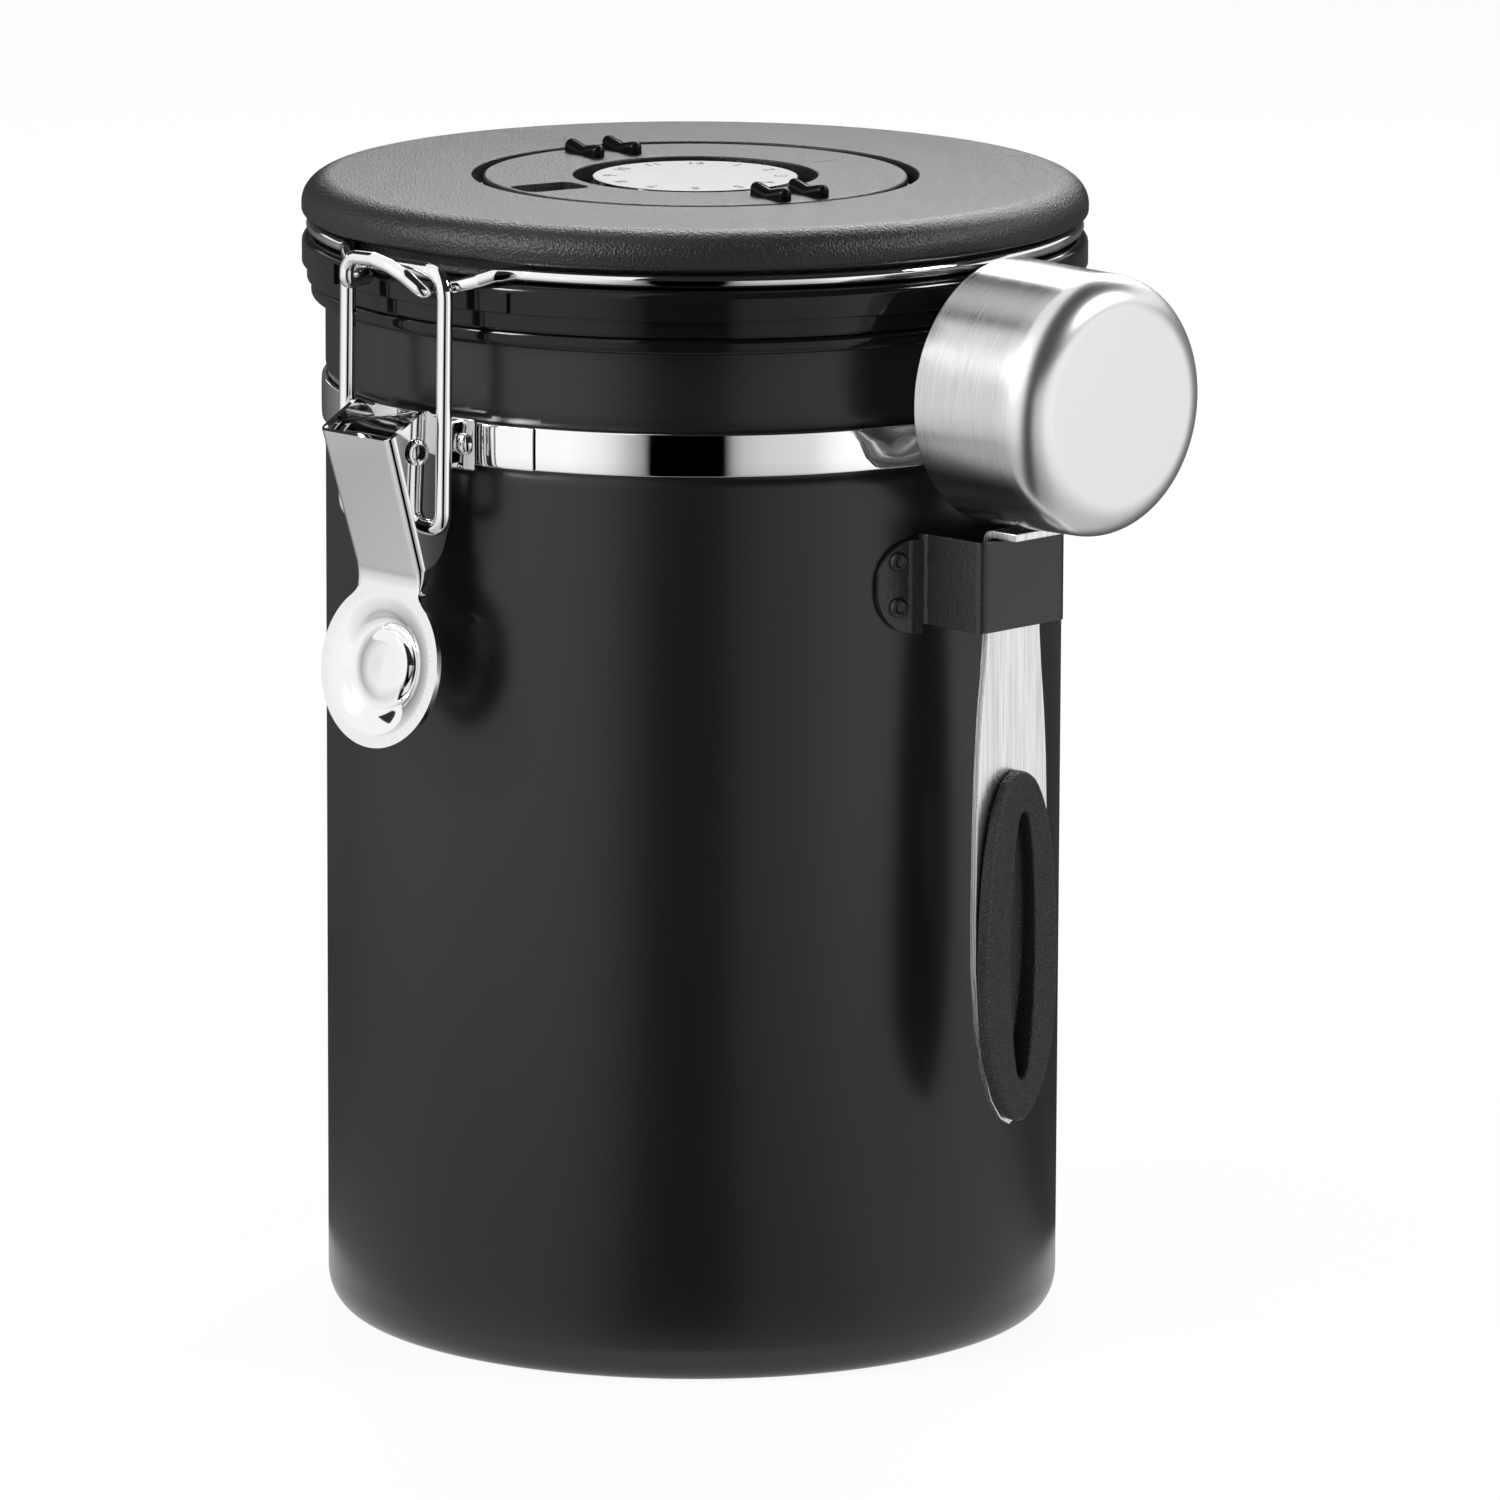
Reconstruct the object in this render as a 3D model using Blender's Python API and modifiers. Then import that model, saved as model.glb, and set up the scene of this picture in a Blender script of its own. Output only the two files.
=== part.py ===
"""Airtight coffee canister: steel body, clamped lid with a date dial and a vent valve, and a scoop.

Metres, +Z up, origin at the centre of the base. The clamp is at -Y, the lid's hinge at +Y and the
scoop at +X. In the clamp's and the scoop's own terms, a place is (t, r, z): t to the right as seen
from outside, r out from the canister's axis, z up.
"""

import math

import bmesh
import bpy
from mathutils import Matrix, Vector

# Shared
FIT_GAP = 0.0003
OVERRUN = 0.002
WELD = 0.00001
LATHE_STEPS = 48
HIDDEN_LATHE_STEPS = 36
SMALL_LATHE_STEPS = 28
PIN_STEPS = 12
SHEET_STEP_DEG = 7.5
SMOOTH_ANGLE = math.radians(35)

# Canister body, a drawn steel shell
BODY_RADIUS = 0.0625
BODY_WALL = 0.0008
BODY_RIM_Z = 0.1815
FOOT_INSET = 0.0042
FOOT_HEIGHT = 0.0060
GROOVE_DEPTH = 0.0005
GROOVE_SHOULDER = 0.0016

# Clamp band in the body's groove, this far under the rim
BAND_DROP = 0.0278
BAND_HEIGHT = 0.0072
BAND_THICKNESS = 0.0009
BAND_SPLIT = 0.0088
HEM_START_T = 0.0129
HEM_END_T = 0.0222
HEM_THICKNESS = 0.0006

# Collar, the moulded ring on the body's rim. Its widths are beyond the body's radius
COLLAR_RISE = 0.0035
COLLAR_HEIGHT = 0.0108
COLLAR_OVERHANG = 0.00395
COLLAR_CORNER = 0.0014
COLLAR_STEP_DROP = 0.0049
COLLAR_STEP = 0.00085
COLLAR_LINE_DROP = 0.0076
COLLAR_LINE_HEIGHT = 0.0004
COLLAR_LINE_DEPTH = 0.0013
COLLAR_BEAD_OVERHANG = 0.0024
COLLAR_BEAD_CORNER = 0.0006
COLLAR_BORE_INSET = 0.0035
COLLAR_SKIRT = 0.0060
COLLAR_SLOT_T = 0.0212
COLLAR_SLOT_WIDTH = 0.0030
COLLAR_SLOT_DEPTH = 0.0007

# Lid cover, the moulded top shell
LID_OVERHANG = 0.0040
LID_HEIGHT = 0.0065
LID_FILLET_WIDTH = 0.0053
LID_FILLET_HEIGHT = 0.0046
LID_BELLY_HEIGHT = 0.0010
LID_RIM_INSET = 0.0013
LID_WALL = 0.0022
LID_SEAT_WIDTH = 0.0020
DIAL_WELL_RADIUS = 0.03735
DIAL_WELL_DEPTH = 0.0036
WELL_WALL = 0.0020
WELL_CORNER = 0.0003
VALVE_BAY_MARGIN = 0.0008

# Lid base, with the plug that enters the collar
BASE_RISE = 0.0039
BASE_NECK_OVERHANG = 0.0005
BASE_LIP_WIDTH = 0.0003
BASE_LIP_HEIGHT = 0.0005
PLUG_MARGIN = 0.0008
PLUG_WALL = 0.0026
PLUG_DEPTH = 0.0055
BASE_DECK = 0.0022
GASKET_GROOVE_DROP = 0.0036
GASKET_GROOVE_HEIGHT = 0.0028
GASKET_GROOVE_DEPTH = 0.0020
GASKET_PROUD = 0.0005

# Vent valve in the lid
VALVE_BOSS_RADIUS = 0.0155
VALVE_BOSS_WALL = 0.0020
VALVE_BOSS_DROP = 0.0058
VENT_RADIUS = 0.0012
VENT_PITCH_RADIUS = 0.0048
VENT_COUNT = 4
STEM_RADIUS = 0.0012
STEM_LENGTH = 0.0030
VALVE_DISC_RADIUS = 0.0075
VALVE_DISC_THICKNESS = 0.0008
VALVE_TRAVEL = 0.0006
VALVE_CAP_RADIUS = 0.0114
VALVE_CAP_WALL = 0.0014
VALVE_CAP_ROOF = 0.0009
VALVE_CAP_HOLE_RADIUS = 0.0013
FILTER_THICKNESS = 0.0022
GRILLE_THICKNESS = 0.0016
GRILLE_PITCH_SHARE = 0.7

# Date dial on the lid
DIAL_RADIUS = 0.0178
DIAL_BEVEL = 0.0005
DIAL_THICKNESS = 0.0013
DIAL_SKIRT = 0.0018
DIAL_SINK = 0.0002
DIAL_NOTCH_WIDTH = 0.0040
DIAL_NOTCH_COUNT = 4
RING_MARGIN = 0.00145
RING_INNER_MARGIN = 0.00285
RING_SINK = 0.0002
RING_THICKNESS = 0.0020
RING_LIP_WIDTH = 0.0012
RING_CORNER = 0.0003
WINDOW_AZ = -13.0
WINDOW_LENGTH = 0.0120
WINDOW_WIDTH = 0.0080
DAY_PLATE_THICKNESS = 0.0008
DAY_PLATE_MARGIN = 0.0006
RIDGE_AZ = 77.6
RIDGE_LENGTH = 0.0105
RIDGE_WIDTH = 0.0024
RIDGE_HEIGHT = 0.0023
RIDGE_SAG = 0.0008
RIDGE_EDGE = 0.00145
RIDGE_SPACING = 0.0075
RIDGE_ROOT = 0.0010

# Lid wire: ring under the lid's rim, hook nose at the front, hinge bar at the rear
WIRE_RADIUS = 0.0012
WIRE_CLEARANCE = 0.0003
LID_CLEARANCE = 0.0006
WIRE_BEND = 0.0022
HINGE_STAND = 0.0090
HINGE_BAR_HALF = 0.0102

# The nose's way from the ring: over the collar's edge, behind the link's legs and under its bar
NOSE_EXIT_T = 0.0200
NOSE_EDGE_T = 0.0176
NOSE_EDGE_IN = 0.0056
NOSE_EDGE_DROP = 0.0003
NOSE_KNEE_T = 0.0152
NOSE_KNEE_IN = 0.0040
NOSE_KNEE_DROP = 0.0013
NOSE_LEG_T = 0.0116
NOSE_LEG_IN = 0.0028
NOSE_LEG_DROP = 0.0024
NOSE_PASS_T = 0.0086
NOSE_PASS_IN = 0.0017
NOSE_PASS_DROP = 0.0031

# The nose's strand in front of the bar, high at the left and low at the right
NOSE_HALF = 0.0080
NOSE_TIP_OUT = 0.0041
NOSE_ARM_DROP = 0.0032
NOSE_TOP_RISE = 0.0013

# Link, the bail from the lever to the nose
LINK_RADIUS = 0.00135
LINK_LEG_T = 0.0116
LINK_BAR_STAND = 0.0070
LINK_BAR_RISE = 0.0016
LINK_CORNER = 0.0045
LINK_FOOT_BEND = 0.0029
LINK_STUB_T = 0.0064

# Pivot of the lever: out from the body, and under the middle of the band
PIVOT_STAND = 0.0106
PIVOT_DROP = 0.0005

# Lever, a folded channel with a thumb pad. Its points are placed from the pivot
LEVER_SHEET = 0.0010
LEVER_WIDTH = 0.0171
LEVER_NECK_WIDTH = 0.0158
LEVER_CORNER = 0.0020
LEVER_DEPTH = 0.0180
LEVER_TOP_OUT = 0.0062
LEVER_TOP_UP = 0.0025
LEVER_NECK_IN = 0.0022
LEVER_NECK_DOWN = 0.0240
FLANGE_PEAK_IN = 0.0022
FLANGE_PEAK_UP = 0.0070
FLANGE_BACK_IN = 0.0054
FLANGE_BACK_UP = 0.0044
FLANGE_HEEL_IN = 0.0081
FLANGE_HEEL_DOWN = 0.0119
FLANGE_WAIST_IN = 0.0063
FLANGE_WAIST_DOWN = 0.0176
FLANGE_TOE_IN = 0.0032
FLANGE_TOE_DOWN = 0.0246
LINK_HOLE_IN = 0.0030
LINK_HOLE_DOWN = 0.0128
PAD_RADIUS = 0.01375
PAD_OUT = 0.0007
PAD_DOWN = 0.0367
PAD_TILT = math.radians(10.0)
PAD_NECK_HALF = 0.0072
PAD_NECK_RISE = 0.0132
PAD_NECK_TURN = 11.0
PAD_DISH_RADIUS = 0.0095
PAD_DISH_DEPTH = 0.0016
PAD_BOSS_RADIUS = 0.0050
PAD_BOSS_RISE = 0.0005

# Pivot pin, a hollow rivet through the lever and the bracket's ears
PIN_RADIUS = 0.0017
PIN_BORE = 0.00135
PIN_FLANGE_RADIUS = 0.00215
PIN_FLANGE = 0.0004
PIN_CLEARANCE = 0.00012

# Latch bracket on the band
BRACKET_SHEET = 0.0010
BRACKET_LAP = 0.0007
BRACKET_HALF_T = 0.0119
EAR_OUTER_T = 0.0070
EAR_SHEET = 0.0012
EAR_EYE_RADIUS = 0.0036
EAR_ROOT_LOW = 0.0006
EAR_ROOT_DROP = 0.0012
LATCH_RIVET_T = 0.0099

# Rivets of the clamp
RIVET_RADIUS = 0.0011
RIVET_HEAD_RADIUS = 0.00185
RIVET_HEAD_HEIGHT = 0.0011
RIVET_CLEARANCE = 0.00012

# Hinge plate at the rear, a strap rolled into a knuckle
HINGE_SHEET = 0.0008
HINGE_PLATE_WIDTH = 0.0154
HINGE_PLATE_DROP = 0.0021
HINGE_PLATE_FLAT = 0.0110
HINGE_PLATE_JOG = 0.0060
KNUCKLE_OPEN_DEG = 60.0
HINGE_RIVET_X = 0.0042

# Scoop handle, a steel strip that stands off the body, with a tab bent out under the cup
HANDLE_STAND = 0.0117
HANDLE_THICKNESS = 0.0013
HANDLE_WIDTH = 0.0174
HANDLE_REACH = 0.0999
TAB_LENGTH = 0.0068
TAB_BEND = 0.0015

# Scoop bracket, a folded strap on the body, open at top and bottom
STRAP_SHEET = 0.0008
STRAP_DROP = 0.0112
STRAP_HEIGHT = 0.0151
STRAP_SLACK = 0.00165
STRAP_INNER_HALF = 0.0093
STRAP_CORNER = 0.0012
STRAP_FOOT_BEND = 0.0020
STRAP_FOOT_T = 0.0180
STRAP_FOOT_ROUND = 0.0072
STRAP_FOOT_HEIGHT = 0.0159
STRAP_FOOT_DROP = 0.0009

# Scoop cup, lying on its side with its mouth to the canister
CUP_RADIUS = 0.0221
CUP_TAPER = 0.0004
CUP_LENGTH = 0.0261
CUP_CORNER = 0.0058
CUP_WALL = 0.0007
CUP_LAP = 0.00085

# Scoop grip, a rubber ring moulded on the strip
GRIP_LENGTH = 0.0604
GRIP_INSET = 0.0006
GRIP_WIDTH = 0.0172
GRIP_HEIGHT = 0.0026
GRIP_SLEEVE = 0.0010
GRIP_SLEEVE_PROUD = 0.0002
GRIP_BEVEL = 0.0010
GRIP_HOLE_RISE = 0.0081
GRIP_HOLE_LENGTH = 0.0454
GRIP_HOLE_WIDTH = 0.0056

# Half widths of the scoop's leaf outlines, as shares of the half width, at shares of the height
HANDLE_LEAF_SHARES = (
    (0.00, 0.00),
    (0.012, 0.24),
    (0.045, 0.50),
    (0.10, 0.72),
    (0.18, 0.89),
    (0.27, 0.98),
    (0.36, 1.00),
    (0.50, 0.975),
    (0.60, 0.94),
    (0.68, 0.875),
    (0.75, 0.79),
    (0.81, 0.73),
    (0.86, 0.715),
    (1.00, 0.715),
)
GRIP_LEAF_SHARES = (
    (0.00, 0.00),
    (0.008, 0.17),
    (0.03, 0.35),
    (0.08, 0.58),
    (0.16, 0.80),
    (0.27, 0.95),
    (0.42, 1.00),
    (0.58, 0.98),
    (0.74, 0.88),
    (0.87, 0.70),
    (0.95, 0.47),
    (0.985, 0.26),
    (1.00, 0.00),
)
HOLE_LEAF_SHARES = (
    (0.00, 0.00),
    (0.01, 0.25),
    (0.04, 0.45),
    (0.12, 0.67),
    (0.22, 0.83),
    (0.32, 0.94),
    (0.44, 1.00),
    (0.60, 0.97),
    (0.74, 0.86),
    (0.86, 0.70),
    (0.95, 0.48),
    (0.99, 0.26),
    (1.00, 0.00),
)

# The nose's strand from its lower left end: across, out and up, as shares of its three sizes
NOSE_SHARES = (
    (-0.97, 1.00, 0.00),
    (-0.95, 1.00, 0.58),
    (-0.79, 1.00, 0.97),
    (-0.16, 0.98, 1.00),
    (0.29, 0.94, 0.84),
    (0.68, 0.82, 0.53),
    (1.04, 0.53, 0.02),
    (1.03, 0.05, -0.10),
)

# Radii that follow from the body's
FOOT_RADIUS = BODY_RADIUS - FOOT_INSET
BAND_RADIUS = BODY_RADIUS - GROOVE_DEPTH + FIT_GAP + BAND_THICKNESS
BRACKET_SEAT_R = BAND_RADIUS + FIT_GAP
BRACKET_FACE_R = BRACKET_SEAT_R + BRACKET_SHEET
LATCH_RIVET_DEG = math.degrees(math.asin(LATCH_RIVET_T / BRACKET_FACE_R))
COLLAR_RADIUS = BODY_RADIUS + COLLAR_OVERHANG
COLLAR_STEP_RADIUS = COLLAR_RADIUS - COLLAR_STEP
COLLAR_BEAD_RADIUS = BODY_RADIUS + COLLAR_BEAD_OVERHANG
COLLAR_BORE = BODY_RADIUS - COLLAR_BORE_INSET
LID_RADIUS = BODY_RADIUS + LID_OVERHANG
LID_FLAT_RADIUS = LID_RADIUS - LID_FILLET_WIDTH
LID_RIM_RADIUS = LID_RADIUS - LID_RIM_INSET
BASE_NECK_RADIUS = BODY_RADIUS + BASE_NECK_OVERHANG
BASE_LIP_RADIUS = BASE_NECK_RADIUS + BASE_LIP_WIDTH
PLUG_RADIUS = COLLAR_BORE - PLUG_MARGIN
GASKET_RADIUS = PLUG_RADIUS + GASKET_PROUD
WIRE_RING_RADIUS = BASE_NECK_RADIUS + FIT_GAP + WIRE_RADIUS
HINGE_Y = BODY_RADIUS + HINGE_STAND
VALVE_BAY_RADIUS = VALVE_CAP_RADIUS + VALVE_BAY_MARGIN
RING_OUTER_RADIUS = DIAL_WELL_RADIUS - RING_MARGIN
RING_INNER_RADIUS = DIAL_RADIUS + RING_INNER_MARGIN
RIDGE_MIDDLE_RADIUS = RING_OUTER_RADIUS - RIDGE_EDGE - RIDGE_LENGTH / 2
KNUCKLE_BORE = WIRE_RADIUS + FIT_GAP
KNUCKLE_RADIUS = KNUCKLE_BORE + HINGE_SHEET
HANDLE_R = BODY_RADIUS + HANDLE_STAND
HANDLE_BACK_R = HANDLE_R - HANDLE_THICKNESS / 2
HANDLE_FRONT_R = HANDLE_R + HANDLE_THICKNESS / 2
STRAP_FRONT_R = HANDLE_FRONT_R + STRAP_SLACK + STRAP_SHEET
CUP_RIM_R = HANDLE_BACK_R - CUP_LAP

# Heights that follow from the body's rim
BAND_LOW_Z = BODY_RIM_Z - BAND_DROP
BAND_TOP_Z = BAND_LOW_Z + BAND_HEIGHT
RIVET_Z = BAND_LOW_Z + BAND_HEIGHT / 2
BRACKET_LOW_Z = BAND_LOW_Z - BRACKET_LAP
BRACKET_TOP_Z = BAND_TOP_Z + BRACKET_LAP
COLLAR_TOP_Z = BODY_RIM_Z + COLLAR_RISE
COLLAR_LOW_Z = COLLAR_TOP_Z - COLLAR_HEIGHT
COLLAR_STEP_Z = COLLAR_TOP_Z - COLLAR_STEP_DROP
COLLAR_LINE_Z = COLLAR_TOP_Z - COLLAR_LINE_DROP
WIRE_Z = COLLAR_TOP_Z + WIRE_CLEARANCE + WIRE_RADIUS
LID_RIM_Z = WIRE_Z + WIRE_RADIUS + LID_CLEARANCE
LID_BELLY_Z = LID_RIM_Z + LID_BELLY_HEIGHT
LID_TOP_Z = LID_RIM_Z + LID_HEIGHT
DIAL_WELL_FLOOR_Z = LID_TOP_Z - DIAL_WELL_DEPTH
RING_TOP_Z = LID_TOP_Z - RING_SINK
RING_LOW_Z = RING_TOP_Z - RING_THICKNESS
DIAL_TOP_Z = RING_TOP_Z - DIAL_SINK
BASE_TOP_Z = COLLAR_TOP_Z + BASE_RISE
BASE_DECK_LOW_Z = BASE_TOP_Z - BASE_DECK
PLUG_LOW_Z = COLLAR_TOP_Z - PLUG_DEPTH
GASKET_GROOVE_Z = COLLAR_TOP_Z - GASKET_GROOVE_DROP
HINGE_PLATE_LOW_Z = BAND_LOW_Z - HINGE_PLATE_DROP
STRAP_TOP_Z = BAND_LOW_Z - STRAP_DROP
STRAP_LOW_Z = STRAP_TOP_Z - STRAP_HEIGHT
STRAP_FOOT_TOP_Z = STRAP_TOP_Z - STRAP_FOOT_DROP
STRAP_FOOT_LOW_Z = STRAP_FOOT_TOP_Z - STRAP_FOOT_HEIGHT
TAB_Z = STRAP_TOP_Z + FIT_GAP + HANDLE_THICKNESS / 2
CUP_Z = TAB_Z + HANDLE_THICKNESS / 2 + FIT_GAP + CUP_RADIUS
HANDLE_END_Z = STRAP_TOP_Z - HANDLE_REACH
GRIP_TOP_Z = HANDLE_END_Z + GRIP_LENGTH
GRIP_HOLE_LOW_Z = HANDLE_END_Z + GRIP_HOLE_RISE
GRIP_HOLE_TOP_Z = GRIP_HOLE_LOW_Z + GRIP_HOLE_LENGTH

# Places of the clamp, as (out from the axis, up)
PIVOT_R = BODY_RADIUS + PIVOT_STAND
PIVOT_Z = RIVET_Z - PIVOT_DROP
LINK_HOLE_R = PIVOT_R - LINK_HOLE_IN
LINK_HOLE_Z = PIVOT_Z - LINK_HOLE_DOWN
LINK_BAR_R = BODY_RADIUS + LINK_BAR_STAND
LINK_BAR_Z = COLLAR_TOP_Z + LINK_BAR_RISE
PAD_CENTRE_R = PIVOT_R + PAD_OUT
PAD_CENTRE_Z = PIVOT_Z - PAD_DOWN

# Frames: an outline's own x and y, and the way that it is extruded, in the canister's frame
PLAN = Matrix.Identity(4)
FRONT_SIDE = Matrix(((0, 0, -1, 0), (-1, 0, 0, 0), (0, 1, 0, 0), (0, 0, 0, 1)))
REAR_SIDE = Matrix(((0, 0, 1, 0), (1, 0, 0, 0), (0, 1, 0, 0), (0, 0, 0, 1)))
SCOOP_FACE = Matrix(((0, 0, 1, 0), (1, 0, 0, 0), (0, 1, 0, 0), (0, 0, 0, 1)))
SCOOP_SIDE = Matrix(((1, 0, 0, 0), (0, 0, -1, 0), (0, 1, 0, 0), (0, 0, 0, 1)))
ALONG_X = Matrix.Rotation(math.radians(90), 4, "Y")


def clear_scene():
    for obj in list(bpy.data.objects):
        bpy.data.objects.remove(obj, do_unlink=True)


def new_collection(name, hidden=False):
    collection = bpy.data.collections.new(name)
    bpy.context.scene.collection.children.link(collection)
    collection.hide_render = hidden
    return collection


def new_material(name, colour, roughness, metallic):
    material = bpy.data.materials.new(name)
    material.use_nodes = True
    shader = material.node_tree.nodes["Principled BSDF"]
    shader.inputs["Base Color"].default_value = (*colour, 1.0)
    shader.inputs["Roughness"].default_value = roughness
    shader.inputs["Metallic"].default_value = metallic
    material.diffuse_color = (*colour, 1.0)
    return material


clear_scene()
PARTS = new_collection("coffee_canister")
CUTTERS = new_collection("cutters", hidden=True)
COATED_STEEL = new_material("coated_steel", (0.016, 0.016, 0.017), 0.45, 0.0)
BLACK_PLASTIC = new_material("black_plastic", (0.030, 0.030, 0.031), 0.42, 0.0)
GLOSS_PLASTIC = new_material("gloss_plastic", (0.010, 0.010, 0.010), 0.12, 0.0)
CHROME = new_material("chrome", (0.85, 0.85, 0.86), 0.06, 1.0)
BRUSHED_STEEL = new_material("brushed_steel", (0.72, 0.72, 0.73), 0.28, 1.0)
SILICONE = new_material("silicone", (0.62, 0.62, 0.60), 0.55, 0.0)
RUBBER = new_material("rubber", (0.014, 0.014, 0.014), 0.62, 0.0)
DIAL_WHITE = new_material("dial_white", (0.78, 0.78, 0.79), 0.30, 0.0)
FELT = new_material("felt", (0.70, 0.68, 0.62), 0.95, 0.0)


# Outlines


def arc(centre, radii, start_deg, end_deg, steps):
    """Points on an ellipse about the centre, both ends included."""
    points = []
    for i in range(steps + 1):
        angle = math.radians(start_deg + (end_deg - start_deg) * i / steps)
        points.append((centre[0] + radii[0] * math.cos(angle), centre[1] + radii[1] * math.sin(angle)))
    return points


def polar(radius, azimuth_deg):
    """The plan place of a radius and an azimuth, which is 0 at the clamp and 90 at the scoop."""
    angle = math.radians(azimuth_deg)
    return radius * math.sin(angle), -radius * math.cos(angle)


def azimuth_at(across, radius):
    """The azimuth, in degrees, of a place this far across on a circle."""
    return math.degrees(math.asin(across / radius))


def bend_curve(start, corner, end, steps):
    """A bend from start to end that is tangent to the lines to the corner."""
    start, corner, end = Vector(start), Vector(corner), Vector(end)
    curve = []
    for k in range(steps + 1):
        s = k / steps
        curve.append(start * (1 - s) ** 2 + corner * 2 * s * (1 - s) + end * s**2)
    return curve


def rounded_path(points, bend, steps=5, closed=False):
    """The same path with each corner drawn round. Two corners share the side between them."""
    points = [Vector(p) for p in points]
    count = len(points)
    path = []
    for i, corner in enumerate(points):
        before = points[i - 1]
        after = points[(i + 1) % count]
        if not closed and i in (0, count - 1):
            path.append(corner)
            continue
        back = before - corner
        on = after - corner
        turn = math.pi - back.angle(on)
        if turn < math.radians(1):
            path.append(corner)
            continue
        lone_back = not closed and before is points[0]
        lone_on = not closed and after is points[-1]
        free_back = back.length if lone_back else back.length / 2
        free_on = on.length if lone_on else on.length / 2
        reach = min(bend * math.tan(turn / 2), free_back, free_on)
        start = corner + back.normalized() * reach
        end = corner + on.normalized() * reach
        path += bend_curve(start, corner, end, steps)
    return path


def sheet_outline(path, thickness):
    """The closed outline of a bent sheet whose middle line is the path."""
    path = [Vector(p).to_2d() for p in path]
    befores = [None, *path[:-1]]
    afters = [*path[1:], None]
    left, right = [], []
    for before, point, after in zip(befores, path, afters):
        ways = []
        if before is not None:
            ways.append((point - before).normalized())
        if after is not None:
            ways.append((after - point).normalized())
        way = sum(ways, Vector((0, 0))).normalized()
        side = Vector((-way.y, way.x)) * thickness / 2 / max(way.dot(ways[0]), 0.5)
        left.append(point + side)
        right.append(point - side)
    return left + right[::-1]


def leaf_outline(shares, half_width, low_z, top_z):
    """A closed outline, alike on both sides, from half widths at heights."""
    right = [(half_width * w, low_z + (top_z - low_z) * h) for h, w in shares]
    left = [(-x, z) for x, z in reversed(right) if x > 0]
    return right + left


# Solids


def place(obj, material, collection=None):
    (collection or PARTS).objects.link(obj)
    obj.data.materials.append(material)
    return obj


def smooth(mesh):
    mesh.shade_smooth()
    mesh.set_sharp_from_angle(angle=SMOOTH_ANGLE)


def turned(name, profile, material, steps=LATHE_STEPS, closed=False, matrix=PLAN):
    """A turned solid. Its profile, as (radius, height), runs down the outer side."""
    mesh = bpy.data.meshes.new(name)
    order = list(range(len(profile)))
    edges = list(zip(order, order[1:]))
    if closed:
        edges.append((order[-1], order[0]))
    mesh.from_pydata([(r, 0, z) for r, z in profile], edges, [])
    obj = place(bpy.data.objects.new(name, mesh), material)
    obj.matrix_world = matrix
    screw = obj.modifiers.new("turn", "SCREW")
    screw.steps = screw.render_steps = steps
    screw.use_merge_vertices = True
    screw.merge_threshold = WELD
    screw.use_smooth_shade = True
    return obj


def plate(name, outlines, thickness, material, matrix=PLAN):
    """A flat solid from closed outlines, of which the inner ones are holes, half its thickness each way."""
    curve = bpy.data.curves.new(name, "CURVE")
    curve.dimensions = "2D"
    curve.fill_mode = "BOTH"
    curve.extrude = thickness / 2
    for outline in outlines:
        spline = curve.splines.new("POLY")
        spline.points.add(len(outline[1:]))
        for point, place_of in zip(spline.points, outline):
            point.co = (place_of[0], place_of[1], 0, 1)
        spline.use_cyclic_u = True
    obj = place(bpy.data.objects.new(name, curve), material)
    obj.matrix_world = matrix
    return as_mesh(obj)


def lofted(name, loops, material, matrix=PLAN, ring=False):
    """A solid from loops of as many points each: its ends are filled, or the last loop meets the first."""
    mesh = bpy.data.meshes.new(name)
    edit = bmesh.new()
    rows = [[edit.verts.new(matrix @ Vector(p)) for p in loop] for loop in loops]
    followers = rows[1:] + rows[:1] if ring else rows[1:]
    for row, following in zip(rows, followers):
        for a, b, c, d in zip(row, row[1:] + row[:1], following[1:] + following[:1], following):
            edit.faces.new((a, b, c, d))
    if not ring:
        edit.faces.new(rows[0][::-1])
        edit.faces.new(rows[-1])
    bmesh.ops.triangulate(edit, faces=edit.faces)
    bmesh.ops.recalc_face_normals(edit, faces=edit.faces)
    edit.to_mesh(mesh)
    edit.free()
    smooth(mesh)
    return place(bpy.data.objects.new(name, mesh), material)


def tube(name, points, radius, material, closed=False):
    """A round wire along the points."""
    curve = bpy.data.curves.new(name, "CURVE")
    curve.dimensions = "3D"
    curve.bevel_depth = radius
    curve.bevel_resolution = 2
    curve.use_fill_caps = True
    spline = curve.splines.new("POLY")
    spline.points.add(len(points[1:]))
    for point, place_of in zip(spline.points, points):
        point.co = (*place_of, 1)
    spline.use_cyclic_u = closed
    obj = place(bpy.data.objects.new(name, curve), material)
    return as_mesh(obj)


def as_mesh(obj):
    """The same object with its curve and modifiers made one welded mesh."""
    bpy.context.view_layer.update()
    evaluated = obj.evaluated_get(bpy.context.evaluated_depsgraph_get())
    mesh = bpy.data.meshes.new_from_object(evaluated)
    edit = bmesh.new()
    edit.from_mesh(mesh)
    bmesh.ops.remove_doubles(edit, verts=edit.verts, dist=WELD)
    bmesh.ops.recalc_face_normals(edit, faces=edit.faces)
    edit.to_mesh(mesh)
    edit.free()
    smooth(mesh)
    made = bpy.data.objects.new(obj.name + "_mesh", mesh)
    made.matrix_world = obj.matrix_world
    for collection in obj.users_collection:
        collection.objects.link(made)
    name = obj.name
    bpy.data.objects.remove(obj, do_unlink=True)
    made.name = name
    return made


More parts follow.
